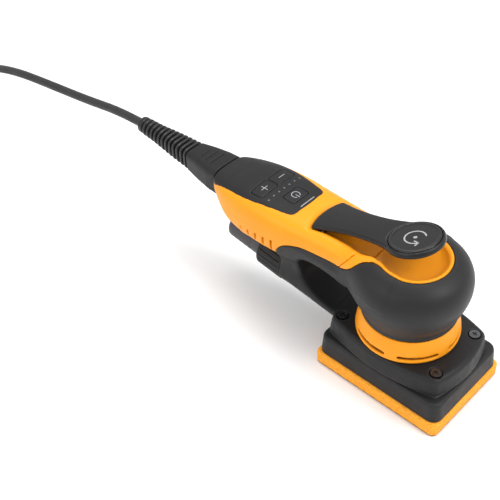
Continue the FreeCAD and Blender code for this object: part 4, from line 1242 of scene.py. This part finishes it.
def add_lever():
    """Paddle, badge and the orbit symbol on it."""
    lever = field_piece("start_lever_skin", start_lever, (-76, -21, 88), (22, 21, 125), 0.7)
    add(lever, "start_paddle", "black_plastic", "start_lever", finish="lever_plastic")
    badge = field_piece("lever_badge_skin", lever_badge, (-19, -18, 109), (19, 18, 124), 0.6)
    add(badge, "start_paddle", "black_plastic", "lever_badge", finish="badge_plastic")
    spring = add(return_spring(), "housing", slot_of["lever_spring"], "lever_spring")
    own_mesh(spring)
    centre = LEVER_REAR + LEVER_ALONG * DISC_AT

    def symbol(name, path, closed=False):
        path = np.array(path, float)
        path[:, 0] = centre[0] + path[:, 0] * math.cos(LEVER_TILT)
        add_mark(name, "start_paddle", lever_badge_top, path, 0.95, closed)
    loop = arc((0.0, 0.0), 6.6, 40, 320, 40)
    symbol("orbit_symbol_loop", loop)
    tip = loop[-1]
    symbol("orbit_symbol_arrow", [tip + (-3.1, 0.6), tip + (-1.5, 0.35), tip + (0.25, 0.1), tip + (0.1, -1.6),
                                  tip + (0.0, -3.1)])
    symbol("orbit_symbol_dot", arc((0.0, 0.0), 0.75, 0, 330, 14), closed=True)


def add_swivel_and_plug():
    """Collar and tube, the cable's plug and its strain relief, and the mains plug."""
    add(hose_collar(), "swivel", "black_plastic", "hose_collar")
    add(hose_tube(), "swivel", "grey_plastic", "hose_tube")
    add(plug_body(), "housing", "black_plastic", "plug_housing")
    relief = add(strain_relief(), "housing", "soft_grip", "strain_relief", finish="ribbed_rubber")
    plug = add(mains_plug(), "housing", "cable_rubber", "mains_plug")
    pins, tie = add_eased("plug_pins"), add_eased("cord_tie")
    cord = add(make_cord(), "housing", "cable_rubber", "power_cord", "cord_tail", "cord_coil")


def add_eased(node):
    """A housing node's shape as a piece of its own, with its edges eased."""
    piece = bpy.data.objects.new(node + "_eased", frame["nodes"][node].data.copy())
    bpy.context.scene.collection.objects.link(piece)
    bevel = piece.modifiers.new("eased_edges", "BEVEL")
    bevel.width = 0.15 * MM
    bevel.segments = 2
    bevel.limit_method = "ANGLE"
    return add(piece, "housing", slot_of[node], node)


def finish_frame_nodes():
    """Materials for the CAD nodes that stay in sight or inside."""
    for name, node in frame["nodes"].items():
        wear(node, slot_of[name])


# ---- floor and light ----
def area_light(name, place, target, size, power):
    """A soft rectangular light."""
    data = bpy.data.lights.new(name, "AREA")
    data.shape = "RECTANGLE"
    data.size, data.size_y = size
    data.energy = power
    light = bpy.data.objects.new(name, data)
    light.location = place
    light.rotation_euler = (Vector(place) - Vector(target)).to_track_quat("Z", "Y").to_euler()
    bpy.context.scene.collection.objects.link(light)


def add_studio():
    """A pale floor, an even sky and three soft lights."""
    bpy.ops.mesh.primitive_plane_add(size=12.0, location=(0.0, 0.0, -0.0002))
    floor = bpy.context.object
    floor.name = "studio_floor"
    finish = Finish("floor_paper", 0.9, specular=0.1)
    finish.colour(finish.blend(finish.noise(3.0), (0.90, 0.90, 0.90, 1.0), (0.93, 0.93, 0.93, 1.0)))
    floor.data.materials.append(finish.material)
    world = bpy.data.worlds.new("studio")
    bpy.context.scene.world = world
    world.use_nodes = True
    world.node_tree.nodes["Background"].inputs["Color"].default_value = (1.0, 1.0, 1.0, 1.0)
    world.node_tree.nodes["Background"].inputs["Strength"].default_value = 0.75
    area_light("key", (0.75, 0.25, 0.95), (-0.03, 0.0, 0.05), (0.55, 0.55), 8.0)
    area_light("fill", (-0.35, -0.95, 0.70), (-0.05, 0.0, 0.05), (0.8, 0.5), 4.0)
    area_light("top", (-0.25, 0.25, 1.20), (-0.05, 0.0, 0.05), (0.9, 0.6), 8.0)
    bpy.context.scene.view_settings.view_transform = "Standard"


set_camera()
finish_frame_nodes()
add_swivel_and_plug()
add_upper_body()
add_base()
add_keypad()
add_lever()
add_studio()
